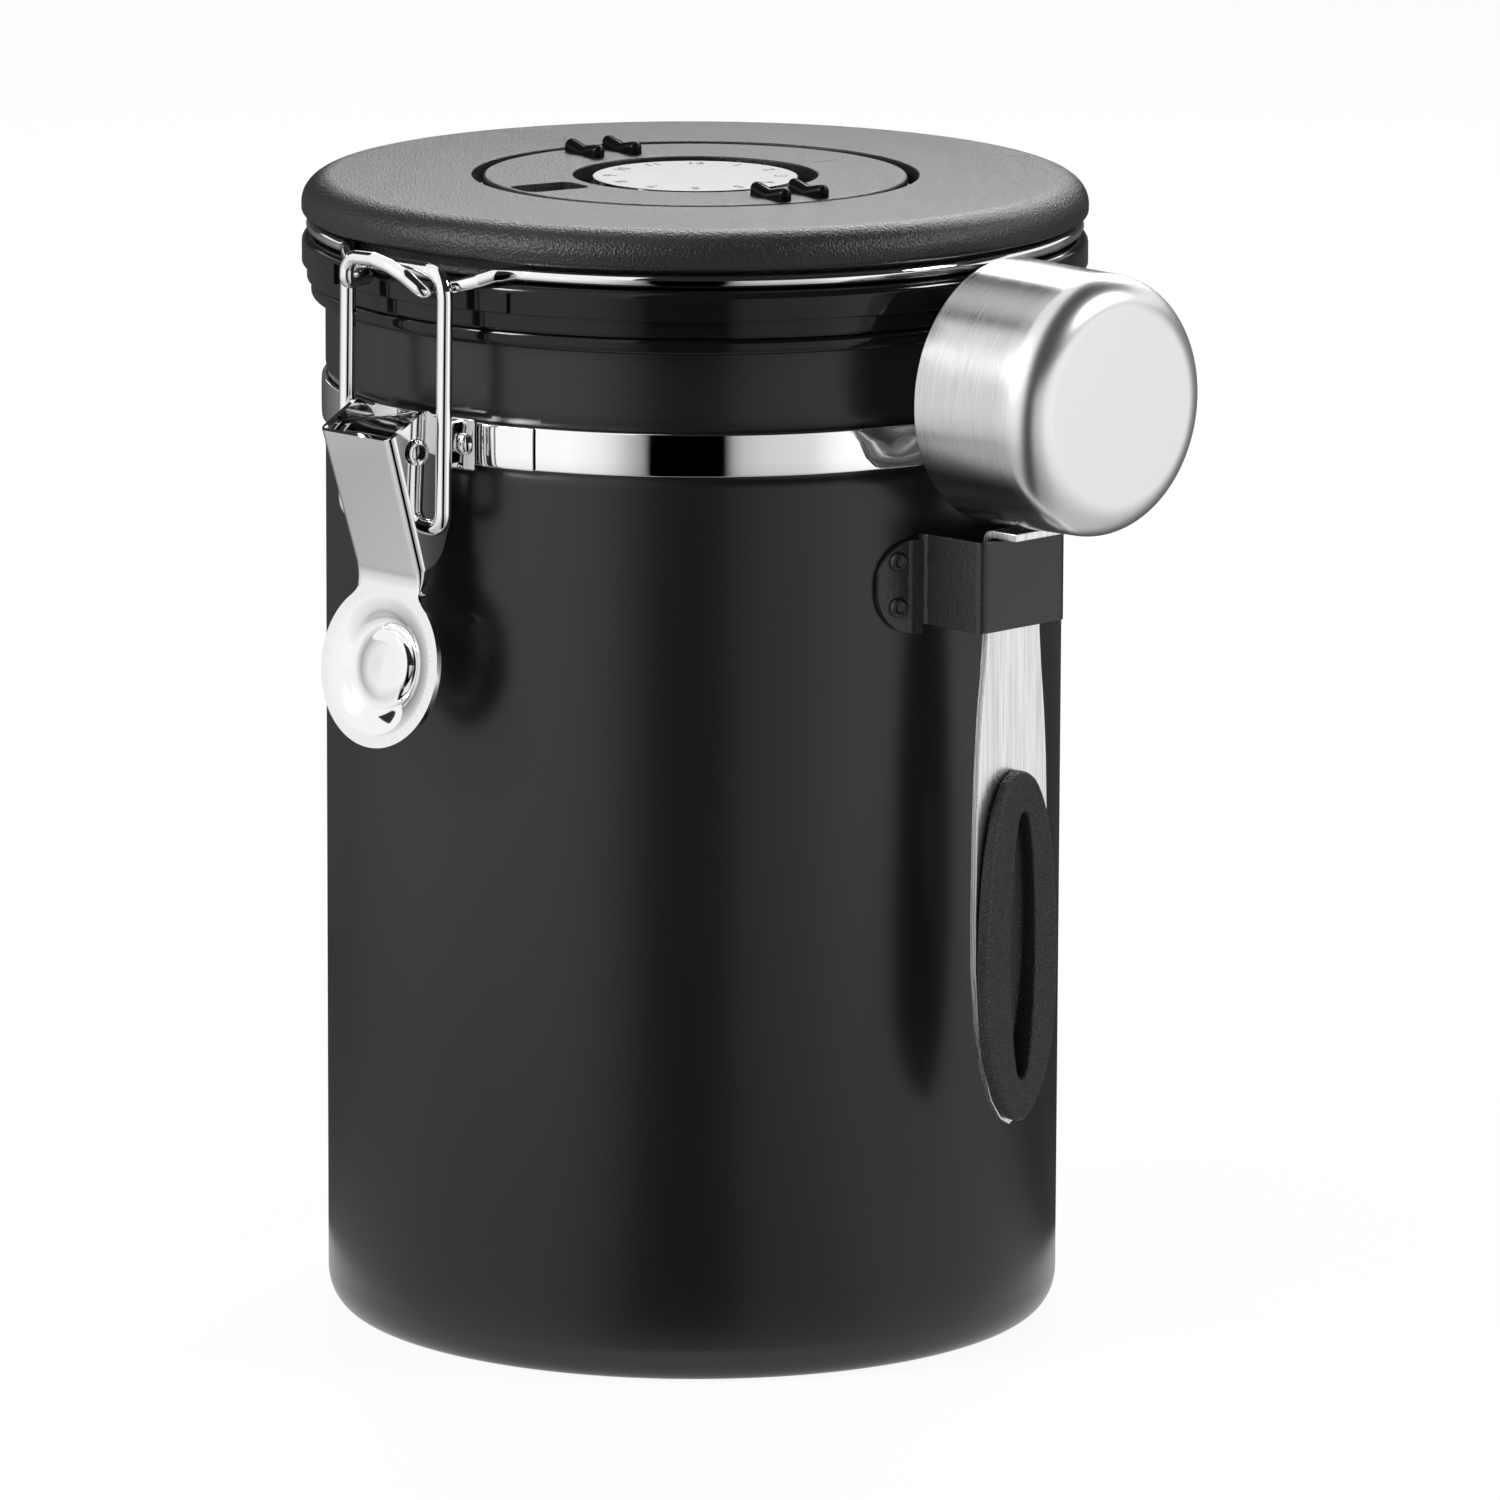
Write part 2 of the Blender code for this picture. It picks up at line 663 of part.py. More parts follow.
def bent_sheet(name, radius, low_z, top_z, start_deg, end_deg, thickness, material):
    """A sheet that follows a circle about the canister's axis, with its inner face at the radius."""
    steps = max(4, round((end_deg - start_deg) / SHEET_STEP_DEG))
    inner = [polar(radius, start_deg + (end_deg - start_deg) * i / steps) for i in range(steps + 1)]
    outer = [polar(radius + thickness, end_deg + (start_deg - end_deg) * i / steps) for i in range(steps + 1)]
    raised = Matrix.Translation((0, 0, (low_z + top_z) / 2))
    return plate(name, [inner + outer], top_z - low_z, material, raised)


def pin(name, radius, start, end, steps=PIN_STEPS):
    """A round cutter from one point to another."""
    start, end = Vector(start), Vector(end)
    length = (end - start).length
    way = (end - start).to_track_quat("Z", "Y").to_matrix().to_4x4()
    matrix = Matrix.Translation((start + end) / 2) @ way
    profile = [(0, length / 2), (radius, length / 2), (radius, -length / 2), (0, -length / 2)]
    return turned(name, profile, CHROME, steps, matrix=matrix)


def block(name, low, high, matrix=PLAN):
    """A box cutter between two corners."""
    outline = [(low[0], low[1]), (high[0], low[1]), (high[0], high[1]), (low[0], high[1])]
    raised = matrix @ Matrix.Translation((0, 0, (low[2] + high[2]) / 2))
    return plate(name, [outline], high[2] - low[2], CHROME, raised)


def combine(obj, other, operation):
    """A Boolean on the object. The other one becomes a hidden cutter."""
    for collection in list(other.users_collection):
        collection.objects.unlink(other)
    CUTTERS.objects.link(other)
    other.hide_render = True
    other.display_type = "WIRE"
    other.name = obj.name + "_" + other.name
    boolean = obj.modifiers.new(operation.lower(), "BOOLEAN")
    boolean.operation = operation
    boolean.object = other


def cut(obj, *cutters):
    for cutter in cutters:
        combine(obj, cutter, "DIFFERENCE")


def join(obj, *others):
    for other in others:
        combine(obj, other, "UNION")


# Body, collar and band


def body_side(inset, foot_steps):
    """The wall's side and foot, down from the rim, this far inside the outer face."""
    radius = BODY_RADIUS - inset
    groove_top = BAND_TOP_Z + FIT_GAP
    groove_low = BAND_LOW_Z - FIT_GAP
    foot = arc(
        (FOOT_RADIUS, FOOT_HEIGHT),
        (radius - FOOT_RADIUS, FOOT_HEIGHT - inset),
        0,
        -90,
        foot_steps,
    )
    return [
        (radius, BODY_RIM_Z),
        (radius, groove_top + GROOVE_SHOULDER),
        (radius - GROOVE_DEPTH, groove_top),
        (radius - GROOVE_DEPTH, groove_low),
        (radius, groove_low - GROOVE_SHOULDER),
        *foot,
    ]


def make_body():
    outer = body_side(0, 5)
    inner = body_side(BODY_WALL, 3)
    turned("canister_body", outer + [(0, 0), (0, BODY_WALL)] + inner[::-1], COATED_STEEL, closed=True)


def make_collar():
    channel_top = BODY_RIM_Z + FIT_GAP
    channel_outer = BODY_RADIUS + FIT_GAP
    channel_inner = BODY_RADIUS - BODY_WALL - FIT_GAP
    line_radius = COLLAR_STEP_RADIUS - COLLAR_LINE_DEPTH
    line_low = COLLAR_LINE_Z - COLLAR_LINE_HEIGHT
    corner = arc(
        (COLLAR_RADIUS - COLLAR_CORNER, COLLAR_TOP_Z - COLLAR_CORNER),
        (COLLAR_CORNER, COLLAR_CORNER),
        90,
        0,
        3,
    )
    bead = arc(
        (COLLAR_BEAD_RADIUS - COLLAR_BEAD_CORNER, line_low - COLLAR_BEAD_CORNER),
        (COLLAR_BEAD_CORNER, COLLAR_BEAD_CORNER),
        90,
        0,
        1,
    )
    profile = [
        (COLLAR_BORE, COLLAR_TOP_Z),
        *corner,
        (COLLAR_RADIUS, COLLAR_STEP_Z),
        (COLLAR_STEP_RADIUS, COLLAR_STEP_Z),
        (COLLAR_STEP_RADIUS, COLLAR_LINE_Z),
        (line_radius, COLLAR_LINE_Z),
        (line_radius, line_low),
        *bead,
        (COLLAR_BEAD_RADIUS, COLLAR_LOW_Z),
        (channel_outer, COLLAR_LOW_Z),
        (channel_outer, channel_top),
        (channel_inner, channel_top),
        (channel_inner, channel_top - COLLAR_SKIRT),
        (COLLAR_BORE, channel_top - COLLAR_SKIRT),
    ]
    collar = turned("collar_ring", profile, GLOSS_PLASTIC, closed=True)
    slot_deg = azimuth_at(COLLAR_SLOT_T, COLLAR_RADIUS)
    for side in (-1, 1):
        turn = Matrix.Rotation(math.radians(side * slot_deg), 4, "Z")
        deep = -COLLAR_RADIUS + COLLAR_SLOT_DEPTH
        low = (-COLLAR_SLOT_WIDTH / 2, -COLLAR_RADIUS - OVERRUN, COLLAR_STEP_Z - OVERRUN)
        high = (COLLAR_SLOT_WIDTH / 2, deep, COLLAR_TOP_Z - COLLAR_CORNER)
        cut(collar, block("slot", low, high, turn))


def rivet_cutter(azimuth_deg, x_offset=0.0):
    """A hole through band and plate at an azimuth, or at an offset along X beside the hinge."""
    x, y = polar(BAND_RADIUS, azimuth_deg)
    way = Vector((x, y, 0)).normalized()
    middle = Vector((x + x_offset, y, RIVET_Z))
    reach = way * (BAND_THICKNESS + OVERRUN)
    return pin("rivet_hole", RIVET_RADIUS + RIVET_CLEARANCE, middle - reach, middle + reach, 10)


def make_band():
    inner = BAND_RADIUS - BAND_THICKNESS
    open_deg = azimuth_at(BAND_SPLIT / 2, BAND_RADIUS)
    band = bent_sheet(
        "band_strap",
        inner,
        BAND_LOW_Z,
        BAND_TOP_Z,
        open_deg,
        360 - open_deg,
        BAND_THICKNESS,
        CHROME,
    )
    for side in (-1, 1):
        ends = sorted(side * azimuth_at(t, BAND_RADIUS) for t in (HEM_START_T, HEM_END_T))
        hem = bent_sheet(
            "hem",
            BAND_RADIUS - BAND_THICKNESS / 2,
            BAND_LOW_Z,
            BAND_TOP_Z,
            *ends,
            HEM_THICKNESS + BAND_THICKNESS / 2,
            CHROME,
        )
        join(band, hem)
        cut(band, rivet_cutter(side * LATCH_RIVET_DEG), rivet_cutter(180, side * HINGE_RIVET_X))


def make_rivet(name, seat_radius, azimuth_deg, x_offset=0.0):
    """A domed rivet whose head sits on a face at the seat radius."""
    x, y = polar(1, azimuth_deg)
    way = Vector((x, y, 0))
    turn = way.to_track_quat("Z", "Y").to_matrix().to_4x4()
    seat = way * (seat_radius + FIT_GAP) + Vector((x_offset, 0, RIVET_Z))
    tail = seat_radius + FIT_GAP - (BAND_RADIUS - BAND_THICKNESS)
    dome = arc((0, 0), (RIVET_HEAD_RADIUS, RIVET_HEAD_HEIGHT), 90, 0, 4)
    profile = dome + [(RIVET_RADIUS, 0), (RIVET_RADIUS, -tail), (0, -tail)]
    turned(name, profile, CHROME, 12, matrix=Matrix.Translation(seat) @ turn)


# Latch


def make_bracket():
    half_deg = azimuth_at(BRACKET_HALF_T, BRACKET_FACE_R)
    base = bent_sheet(
        "latch_bracket",
        BRACKET_SEAT_R,
        BRACKET_LOW_Z,
        BRACKET_TOP_Z,
        -half_deg,
        half_deg,
        BRACKET_SHEET,
        CHROME,
    )
    middle_r = BRACKET_SEAT_R + BRACKET_SHEET / 2
    root_r = math.sqrt(middle_r**2 - EAR_OUTER_T**2)
    eye = arc((PIVOT_R, PIVOT_Z), (EAR_EYE_RADIUS, EAR_EYE_RADIUS), -95, 95, 10)
    outline = [(root_r, BRACKET_LOW_Z + EAR_ROOT_LOW), *eye, (root_r, BRACKET_TOP_Z - EAR_ROOT_DROP)]
    bore = PIN_RADIUS + PIN_CLEARANCE
    hole = arc((PIVOT_R, PIVOT_Z), (bore, bore), 0, 345, 15)
    for side in (-1, 1):
        middle = side * (EAR_OUTER_T - EAR_SHEET / 2)
        matrix = Matrix.Translation((middle, 0, 0)) @ FRONT_SIDE
        join(base, plate("ear", [outline, hole], EAR_SHEET, CHROME, matrix))
    for side in (-1, 1):
        cut(base, rivet_cutter(side * LATCH_RIVET_DEG))


def make_pivot_pin():
    inner = LEVER_WIDTH / 2 + FIT_GAP
    outer = inner + PIN_FLANGE
    profile = [
        (PIN_BORE, outer),
        (PIN_FLANGE_RADIUS, outer),
        (PIN_FLANGE_RADIUS, inner),
        (PIN_RADIUS, inner),
        (PIN_RADIUS, -inner),
        (PIN_FLANGE_RADIUS, -inner),
        (PIN_FLANGE_RADIUS, -outer),
        (PIN_BORE, -outer),
    ]
    matrix = Matrix.Translation((0, -PIVOT_R, PIVOT_Z)) @ ALONG_X
    turned("lever_pivot_pin", profile, CHROME, PIN_STEPS, closed=True, matrix=matrix)


def lever_section(half):
    """The folded channel's U section, with its web at the top and its mouth down."""
    bend = LEVER_CORNER
    inner_bend = LEVER_CORNER - LEVER_SHEET
    return [
        (half, -LEVER_DEPTH),
        *arc((half - bend, -bend), (bend, bend), 0, 90, 4),
        *arc((-half + bend, -bend), (bend, bend), 90, 180, 4),
        (-half, -LEVER_DEPTH),
        (-half + LEVER_SHEET, -LEVER_DEPTH),
        *arc((-half + bend, -bend), (inner_bend, inner_bend), 180, 90, 3),
        *arc((half - bend, -bend), (inner_bend, inner_bend), 90, 0, 3),
        (half - LEVER_SHEET, -LEVER_DEPTH),
    ]


def lever_channel():
    """The folded channel: a U section that narrows along the web, kept where the side outline is."""
    top = Vector((PIVOT_R + LEVER_TOP_OUT, PIVOT_Z + LEVER_TOP_UP))
    neck = Vector((PIVOT_R - LEVER_NECK_IN, PIVOT_Z - LEVER_NECK_DOWN))
    run = top - neck
    up = run.normalized()
    # the section's x is t, its y is out of the web, and it is lofted up along the web
    out = Vector((up.y, -up.x))
    matrix = Matrix(
        (
            (1, 0, 0, 0),
            (0, -out.x, -up.x, -neck.x),
            (0, out.y, up.y, neck.y),
            (0, 0, 0, 1),
        )
    )
    narrowing = (LEVER_WIDTH - LEVER_NECK_WIDTH) / 2 / run.length
    loops = []
    for height in (-LEVER_DEPTH / 2, run.length + LEVER_DEPTH / 2):
        half = LEVER_NECK_WIDTH / 2 + narrowing * height
        loops.append([(t, y, height) for t, y in lever_section(half)])
    channel = lofted("latch_lever", loops, CHROME, matrix)
    peak = Vector((PIVOT_R - FLANGE_PEAK_IN, PIVOT_Z + FLANGE_PEAK_UP))
    toe = Vector((PIVOT_R - FLANGE_TOE_IN, PIVOT_Z - FLANGE_TOE_DOWN))
    side = [
        neck + (neck - toe).normalized() * OVERRUN,
        top + (top - peak).normalized() * OVERRUN,
        peak,
        (PIVOT_R - FLANGE_BACK_IN, PIVOT_Z + FLANGE_BACK_UP),
        (PIVOT_R - FLANGE_HEEL_IN, PIVOT_Z - FLANGE_HEEL_DOWN),
        (PIVOT_R - FLANGE_WAIST_IN, PIVOT_Z - FLANGE_WAIST_DOWN),
        toe,
    ]
    keeper = plate("side", [side], LEVER_WIDTH + OVERRUN, CHROME, FRONT_SIDE)
    combine(channel, keeper, "INTERSECT")
    return channel


def pad_frame():
    """The pad's frame: x is t, y is up along the pad and z is out of it."""
    tilt = Matrix.Rotation(-PAD_TILT, 4, "X")
    upright = Matrix(((1, 0, 0, 0), (0, 0, -1, 0), (0, 1, 0, 0), (0, 0, 0, 1)))
    return Matrix.Translation((0, -PAD_CENTRE_R, PAD_CENTRE_Z)) @ upright @ tilt


def make_lever():
    lever = lever_channel()
    frame = pad_frame()
    # the neck's straight sides bend into the pad's round rim
    meet = math.sqrt(PAD_RADIUS**2 - PAD_NECK_HALF**2)
    touch = math.degrees(math.atan2(meet, PAD_NECK_HALF)) - PAD_NECK_TURN
    rim = arc((0, 0), (PAD_RADIUS, PAD_RADIUS), 180 - touch, 360 + touch, 28)
    fillet = bend_curve(rim[-1], (PAD_NECK_HALF, meet), (PAD_NECK_HALF, PAD_NECK_RISE), 3)[1:]
    outline = rim + [tuple(p) for p in fillet] + [(-p.x, p.y) for p in fillet[::-1]]
    seat = PAD_DISH_RADIUS
    opening = arc((0, 0), (seat, seat), 0, 345, 23)
    back = frame @ Matrix.Translation((0, 0, -LEVER_SHEET / 2))
    join(lever, plate("pad", [outline, opening], LEVER_SHEET, CHROME, back))
    floor = -PAD_DISH_DEPTH
    boss = floor + PAD_BOSS_RISE
    lap = LEVER_SHEET / 2
    slope = (PAD_DISH_RADIUS - PAD_BOSS_RADIUS) / 3
    face = [
        (0, boss),
        (PAD_BOSS_RADIUS, boss),
        (PAD_BOSS_RADIUS + slope / 2, floor),
        (PAD_BOSS_RADIUS + slope, floor),
        (PAD_DISH_RADIUS - slope / 2, 0),
        (PAD_DISH_RADIUS + lap, 0),
    ]
    under = [(r, z - LEVER_SHEET) for r, z in reversed(face)]
    join(lever, turned("dish", face + under, CHROME, 24, matrix=frame))
    reach_t = LEVER_WIDTH / 2 + OVERRUN
    for r, z, radius in (
        (PIVOT_R, PIVOT_Z, PIN_RADIUS),
        (LINK_HOLE_R, LINK_HOLE_Z, LINK_RADIUS),
    ):
        hole = pin("hole", radius + PIN_CLEARANCE, (-reach_t, -r, z), (reach_t, -r, z))
        cut(lever, hole)


def make_link():
    foot_z = LINK_HOLE_Z
    half = [
        (LINK_STUB_T, -LINK_HOLE_R, foot_z),
        (LINK_LEG_T, -LINK_HOLE_R, foot_z),
        (LINK_LEG_T, -LINK_BAR_R, LINK_BAR_Z),
    ]
    other = [(-x, y, z) for x, y, z in reversed(half)]
    feet = rounded_path([half[0], half[1], (half[1][0], -LINK_HOLE_R, LINK_BAR_Z)], LINK_FOOT_BEND)
    top = rounded_path([half[1], half[2], other[0], other[1]], LINK_CORNER, 6)
    left_feet = [(-p[0], p[1], p[2]) for p in reversed(feet)]
    path = feet[:-1] + top[1:-1] + left_feet[1:]
    tube("link_wire", path, LINK_RADIUS, CHROME)


def nose_point(side, across, back, drop):
    """A place on the nose, back from and under the link's bar."""
    return side * across, -LINK_BAR_R + back, LINK_BAR_Z - drop


def lid_wire_path():
    exit_deg = azimuth_at(NOSE_EXIT_T, WIRE_RING_RADIUS)
    exit_x, exit_y = polar(WIRE_RING_RADIUS, exit_deg)
    rear_deg = azimuth_at(HINGE_BAR_HALF, WIRE_RING_RADIUS)
    rear_y = -polar(WIRE_RING_RADIUS, rear_deg)[1]
    steps = 18
    span = 180 - rear_deg - exit_deg
    side = [polar(WIRE_RING_RADIUS, exit_deg + span * i / steps) for i in range(steps + 1)]
    right = [Vector((x, y, WIRE_Z)) for x, y in side]
    left = [Vector((-x, y, WIRE_Z)) for x, y in reversed(side)]
    bar = [
        (HINGE_BAR_HALF, rear_y, WIRE_Z),
        (HINGE_BAR_HALF, HINGE_Y, WIRE_Z),
        (-HINGE_BAR_HALF, HINGE_Y, WIRE_Z),
        (-HINGE_BAR_HALF, rear_y, WIRE_Z),
    ]
    strand = []
    for across, out, up in NOSE_SHARES:
        rise = (NOSE_ARM_DROP + NOSE_TOP_RISE) * up
        strand.append(nose_point(1, NOSE_HALF * across, -NOSE_TIP_OUT * out, NOSE_ARM_DROP - rise))
    way = [
        (NOSE_EDGE_T, NOSE_EDGE_IN, NOSE_EDGE_DROP),
        (NOSE_KNEE_T, NOSE_KNEE_IN, NOSE_KNEE_DROP),
        (NOSE_LEG_T, NOSE_LEG_IN, NOSE_LEG_DROP),
        (NOSE_PASS_T, NOSE_PASS_IN, NOSE_PASS_DROP),
    ]
    left_way = [nose_point(-1, *place_of) for place_of in way]
    right_way = [nose_point(1, *place_of) for place_of in reversed(way)]
    nose = [(-exit_x, exit_y, WIRE_Z), *left_way, *strand, *right_way, (exit_x, exit_y, WIRE_Z)]
    rear = rounded_path(bar, WIRE_BEND, 4)
    front = rounded_path(nose, WIRE_BEND, 3)
    return right[:-1] + rear + left[1:] + front[1:-1]


def make_lid_wire():
    tube("lid_wire", lid_wire_path(), WIRE_RADIUS, CHROME, closed=True)


def make_hinge_plate():
    """The strap's side view: up the band, out past the collar, up to the knuckle and round the bar."""
    middle = HINGE_SHEET / 2
    seat = BAND_RADIUS + FIT_GAP + middle
    stand = HINGE_Y - KNUCKLE_RADIUS + middle
    jog_z = HINGE_PLATE_LOW_Z + HINGE_PLATE_FLAT
    run = rounded_path(
        [
            (seat, HINGE_PLATE_LOW_Z),
            (seat, jog_z),
            (stand, jog_z + HINGE_PLATE_JOG),
            (stand, WIRE_Z),
        ],
        WIRE_BEND,
        3,
    )
    roll_radius = KNUCKLE_BORE + middle
    roll = arc((HINGE_Y, WIRE_Z), (roll_radius, roll_radius), 180, 180 - 360 + KNUCKLE_OPEN_DEG, 15)
    path = [tuple(p) for p in run[:-1]] + roll
    outline = sheet_outline(path, HINGE_SHEET)
    hinge = plate("hinge_plate", [outline], HINGE_PLATE_WIDTH, CHROME, REAR_SIDE)
    for side in (-1, 1):
        cut(hinge, rivet_cutter(180, side * HINGE_RIVET_X))


# Lid


def make_lid_cover():
    fillet = arc(
        (LID_FLAT_RADIUS, LID_TOP_Z - LID_FILLET_HEIGHT),
        (LID_RADIUS - LID_FLAT_RADIUS, LID_FILLET_HEIGHT),
        90,
        0,
        6,
    )
    belly = arc(
        (LID_RIM_RADIUS, LID_BELLY_Z),
        (LID_RADIUS - LID_RIM_RADIUS, LID_BELLY_Z - LID_RIM_Z),
        0,
        -90,
        2,
    )
    seat_z = BASE_TOP_Z + FIT_GAP
    skirt_inner = BASE_NECK_RADIUS + FIT_GAP
    seat_inner = skirt_inner - LID_SEAT_WIDTH
    well_outer = DIAL_WELL_RADIUS + WELL_WALL
    profile = [
        (VALVE_BAY_RADIUS, DIAL_WELL_FLOOR_Z),
        (DIAL_WELL_RADIUS, DIAL_WELL_FLOOR_Z),
        (DIAL_WELL_RADIUS, LID_TOP_Z - WELL_CORNER),
        (DIAL_WELL_RADIUS + WELL_CORNER, LID_TOP_Z),
        *fillet,
        *belly,
        (skirt_inner, LID_RIM_Z),
        (skirt_inner, seat_z),
        (seat_inner, seat_z),
        (seat_inner, LID_TOP_Z - LID_WALL),
        (well_outer, LID_TOP_Z - LID_WALL),
        (well_outer, seat_z),
        (VALVE_BAY_RADIUS, seat_z),
    ]
    turned("lid_cover", profile, BLACK_PLASTIC, closed=True)


def make_lid_base():
    lip_low = COLLAR_TOP_Z + FIT_GAP
    lip_top = lip_low + BASE_LIP_HEIGHT
    groove_radius = PLUG_RADIUS - GASKET_GROOVE_DEPTH
    groove_top = GASKET_GROOVE_Z + GASKET_GROOVE_HEIGHT
    boss_low = BASE_DECK_LOW_Z - VALVE_BOSS_DROP
    boss_bore = VALVE_BOSS_RADIUS - VALVE_BOSS_WALL
    profile = [
        (0, BASE_TOP_Z),
        (BASE_NECK_RADIUS, BASE_TOP_Z),
        (BASE_NECK_RADIUS, lip_top + BASE_LIP_HEIGHT),
        (BASE_LIP_RADIUS, lip_top),
        (BASE_LIP_RADIUS, lip_low),
        (PLUG_RADIUS, lip_low),
        (PLUG_RADIUS, groove_top),
        (groove_radius, groove_top),
        (groove_radius, GASKET_GROOVE_Z),
        (PLUG_RADIUS, GASKET_GROOVE_Z),
        (PLUG_RADIUS, PLUG_LOW_Z),
        (PLUG_RADIUS - PLUG_WALL, PLUG_LOW_Z),
        (PLUG_RADIUS - PLUG_WALL, BASE_DECK_LOW_Z),
        (VALVE_BOSS_RADIUS, BASE_DECK_LOW_Z),
        (VALVE_BOSS_RADIUS, boss_low),
        (boss_bore, boss_low),
        (boss_bore, BASE_DECK_LOW_Z),
        (0, BASE_DECK_LOW_Z),
    ]
    base = turned("lid_base", profile, BLACK_PLASTIC, HIDDEN_LATHE_STEPS)
    low = BASE_DECK_LOW_Z - OVERRUN
    top = BASE_TOP_Z + OVERRUN
    cut(base, pin("stem_hole", STEM_RADIUS + PIN_CLEARANCE, (0, 0, low), (0, 0, top), 12))
    for i in range(VENT_COUNT):
        x, y = polar(VENT_PITCH_RADIUS, 360 * (i + 0.3) / VENT_COUNT)
        cut(base, pin("vent", VENT_RADIUS, (x, y, low), (x, y, top), 8))


def make_gasket():
    low = GASKET_GROOVE_Z + FIT_GAP
    top = GASKET_GROOVE_Z + GASKET_GROOVE_HEIGHT - FIT_GAP
    inner = PLUG_RADIUS - GASKET_GROOVE_DEPTH + FIT_GAP
    centre = ((inner + GASKET_RADIUS) / 2, (low + top) / 2)
    lip = arc(centre, ((GASKET_RADIUS - inner) / 2, (top - low) / 2), 60, -60, 2)
    turned("lid_gasket", [(inner, top), *lip, (inner, low)], SILICONE, HIDDEN_LATHE_STEPS, closed=True)


def make_valve():
    seat = BASE_TOP_Z + FIT_GAP
    top = seat + VALVE_DISC_THICKNESS
    disc = [
        (0, top),
        (VALVE_DISC_RADIUS, top),
        (VALVE_DISC_RADIUS, seat),
        (STEM_RADIUS, seat),
        (STEM_RADIUS, seat - STEM_LENGTH),
        (0, seat - STEM_LENGTH),
    ]
    turned("valve_disc", disc, SILICONE, SMALL_LATHE_STEPS)
    roof_low = top + VALVE_TRAVEL + FIT_GAP
    roof_top = roof_low + VALVE_CAP_ROOF
    bore = VALVE_CAP_RADIUS - VALVE_CAP_WALL
    cap = turned(
        "valve_cap",
        [
            (0, roof_top),
            (VALVE_CAP_RADIUS, roof_top),
            (VALVE_CAP_RADIUS, seat),
            (bore, seat),
            (bore, roof_low),
            (0, roof_low),
        ],
        BLACK_PLASTIC,
        SMALL_LATHE_STEPS,
    )
    low, high = roof_low - OVERRUN / 4, roof_top + OVERRUN
    for i in range(VENT_COUNT):
        x, y = polar(VENT_PITCH_RADIUS, 360 * (i + 0.5) / VENT_COUNT)
        cut(cap, pin("vent", VALVE_CAP_HOLE_RADIUS, (x, y, low), (x, y, high), 8))
    radius = VALVE_BOSS_RADIUS - VALVE_BOSS_WALL - FIT_GAP
    filter_top = BASE_DECK_LOW_Z - FIT_GAP - STEM_LENGTH / 3
    filter_low = filter_top - FILTER_THICKNESS
    inner = STEM_RADIUS + FIT_GAP
    well = [(inner, filter_top), (radius, filter_top), (radius, filter_low), (inner, filter_low)]
    turned("valve_filter", well, FELT, SMALL_LATHE_STEPS, closed=True)
    grille_top = filter_low - FIT_GAP
    grille_low = grille_top - GRILLE_THICKNESS
    grille = turned(
        "valve_grille",
        [(0, grille_top), (radius, grille_top), (radius, grille_low), (0, grille_low)],
        BLACK_PLASTIC,
        SMALL_LATHE_STEPS,
    )
    for i in range(2 * VENT_COUNT):
        x, y = polar(radius * GRILLE_PITCH_SHARE, 180 * (i + 0.2) / VENT_COUNT)
        ends = (x, y, grille_low - OVERRUN / 4), (x, y, grille_top + OVERRUN / 4)
        cut(grille, pin("vent", VENT_RADIUS, *ends, 8))


# Dial


def make_date_ring():
    lip_radius = RING_INNER_RADIUS + RING_LIP_WIDTH
    floor = DIAL_WELL_FLOOR_Z + FIT_GAP
    profile = [
        (RING_INNER_RADIUS, RING_TOP_Z - RING_CORNER),
        (RING_INNER_RADIUS + RING_CORNER, RING_TOP_Z),
        (RING_OUTER_RADIUS - RING_CORNER, RING_TOP_Z),
        (RING_OUTER_RADIUS, RING_TOP_Z - RING_CORNER),
        (RING_OUTER_RADIUS, RING_LOW_Z),
        (lip_radius, RING_LOW_Z),
        (lip_radius, floor),
        (RING_INNER_RADIUS, floor),
    ]
    ring = turned("date_ring", profile, BLACK_PLASTIC, 40, closed=True)
    middle = (RING_OUTER_RADIUS + lip_radius) / 2
    turn = Matrix.Rotation(math.radians(WINDOW_AZ), 4, "Z")
    half = WINDOW_WIDTH / 2
    reach = WINDOW_LENGTH / 2
    corners = [
        (-half, -middle - reach, 0),
        (half, -middle - reach, 0),
        (half, -middle + reach, 0),
        (-half, -middle + reach, 0),
    ]
    outline = [p.to_2d() for p in rounded_path(corners, half / 2, 3, closed=True)]
    raised = Matrix.Translation((0, 0, RING_TOP_Z)) @ turn
    cut(ring, plate("window", [outline], 2 * (RING_THICKNESS + FIT_GAP), BLACK_PLASTIC, raised))
    for pair in (0, 180):
        for side in (-1, 1):
            cut(ring, ridge_solid("pocket", pair, side, FIT_GAP))


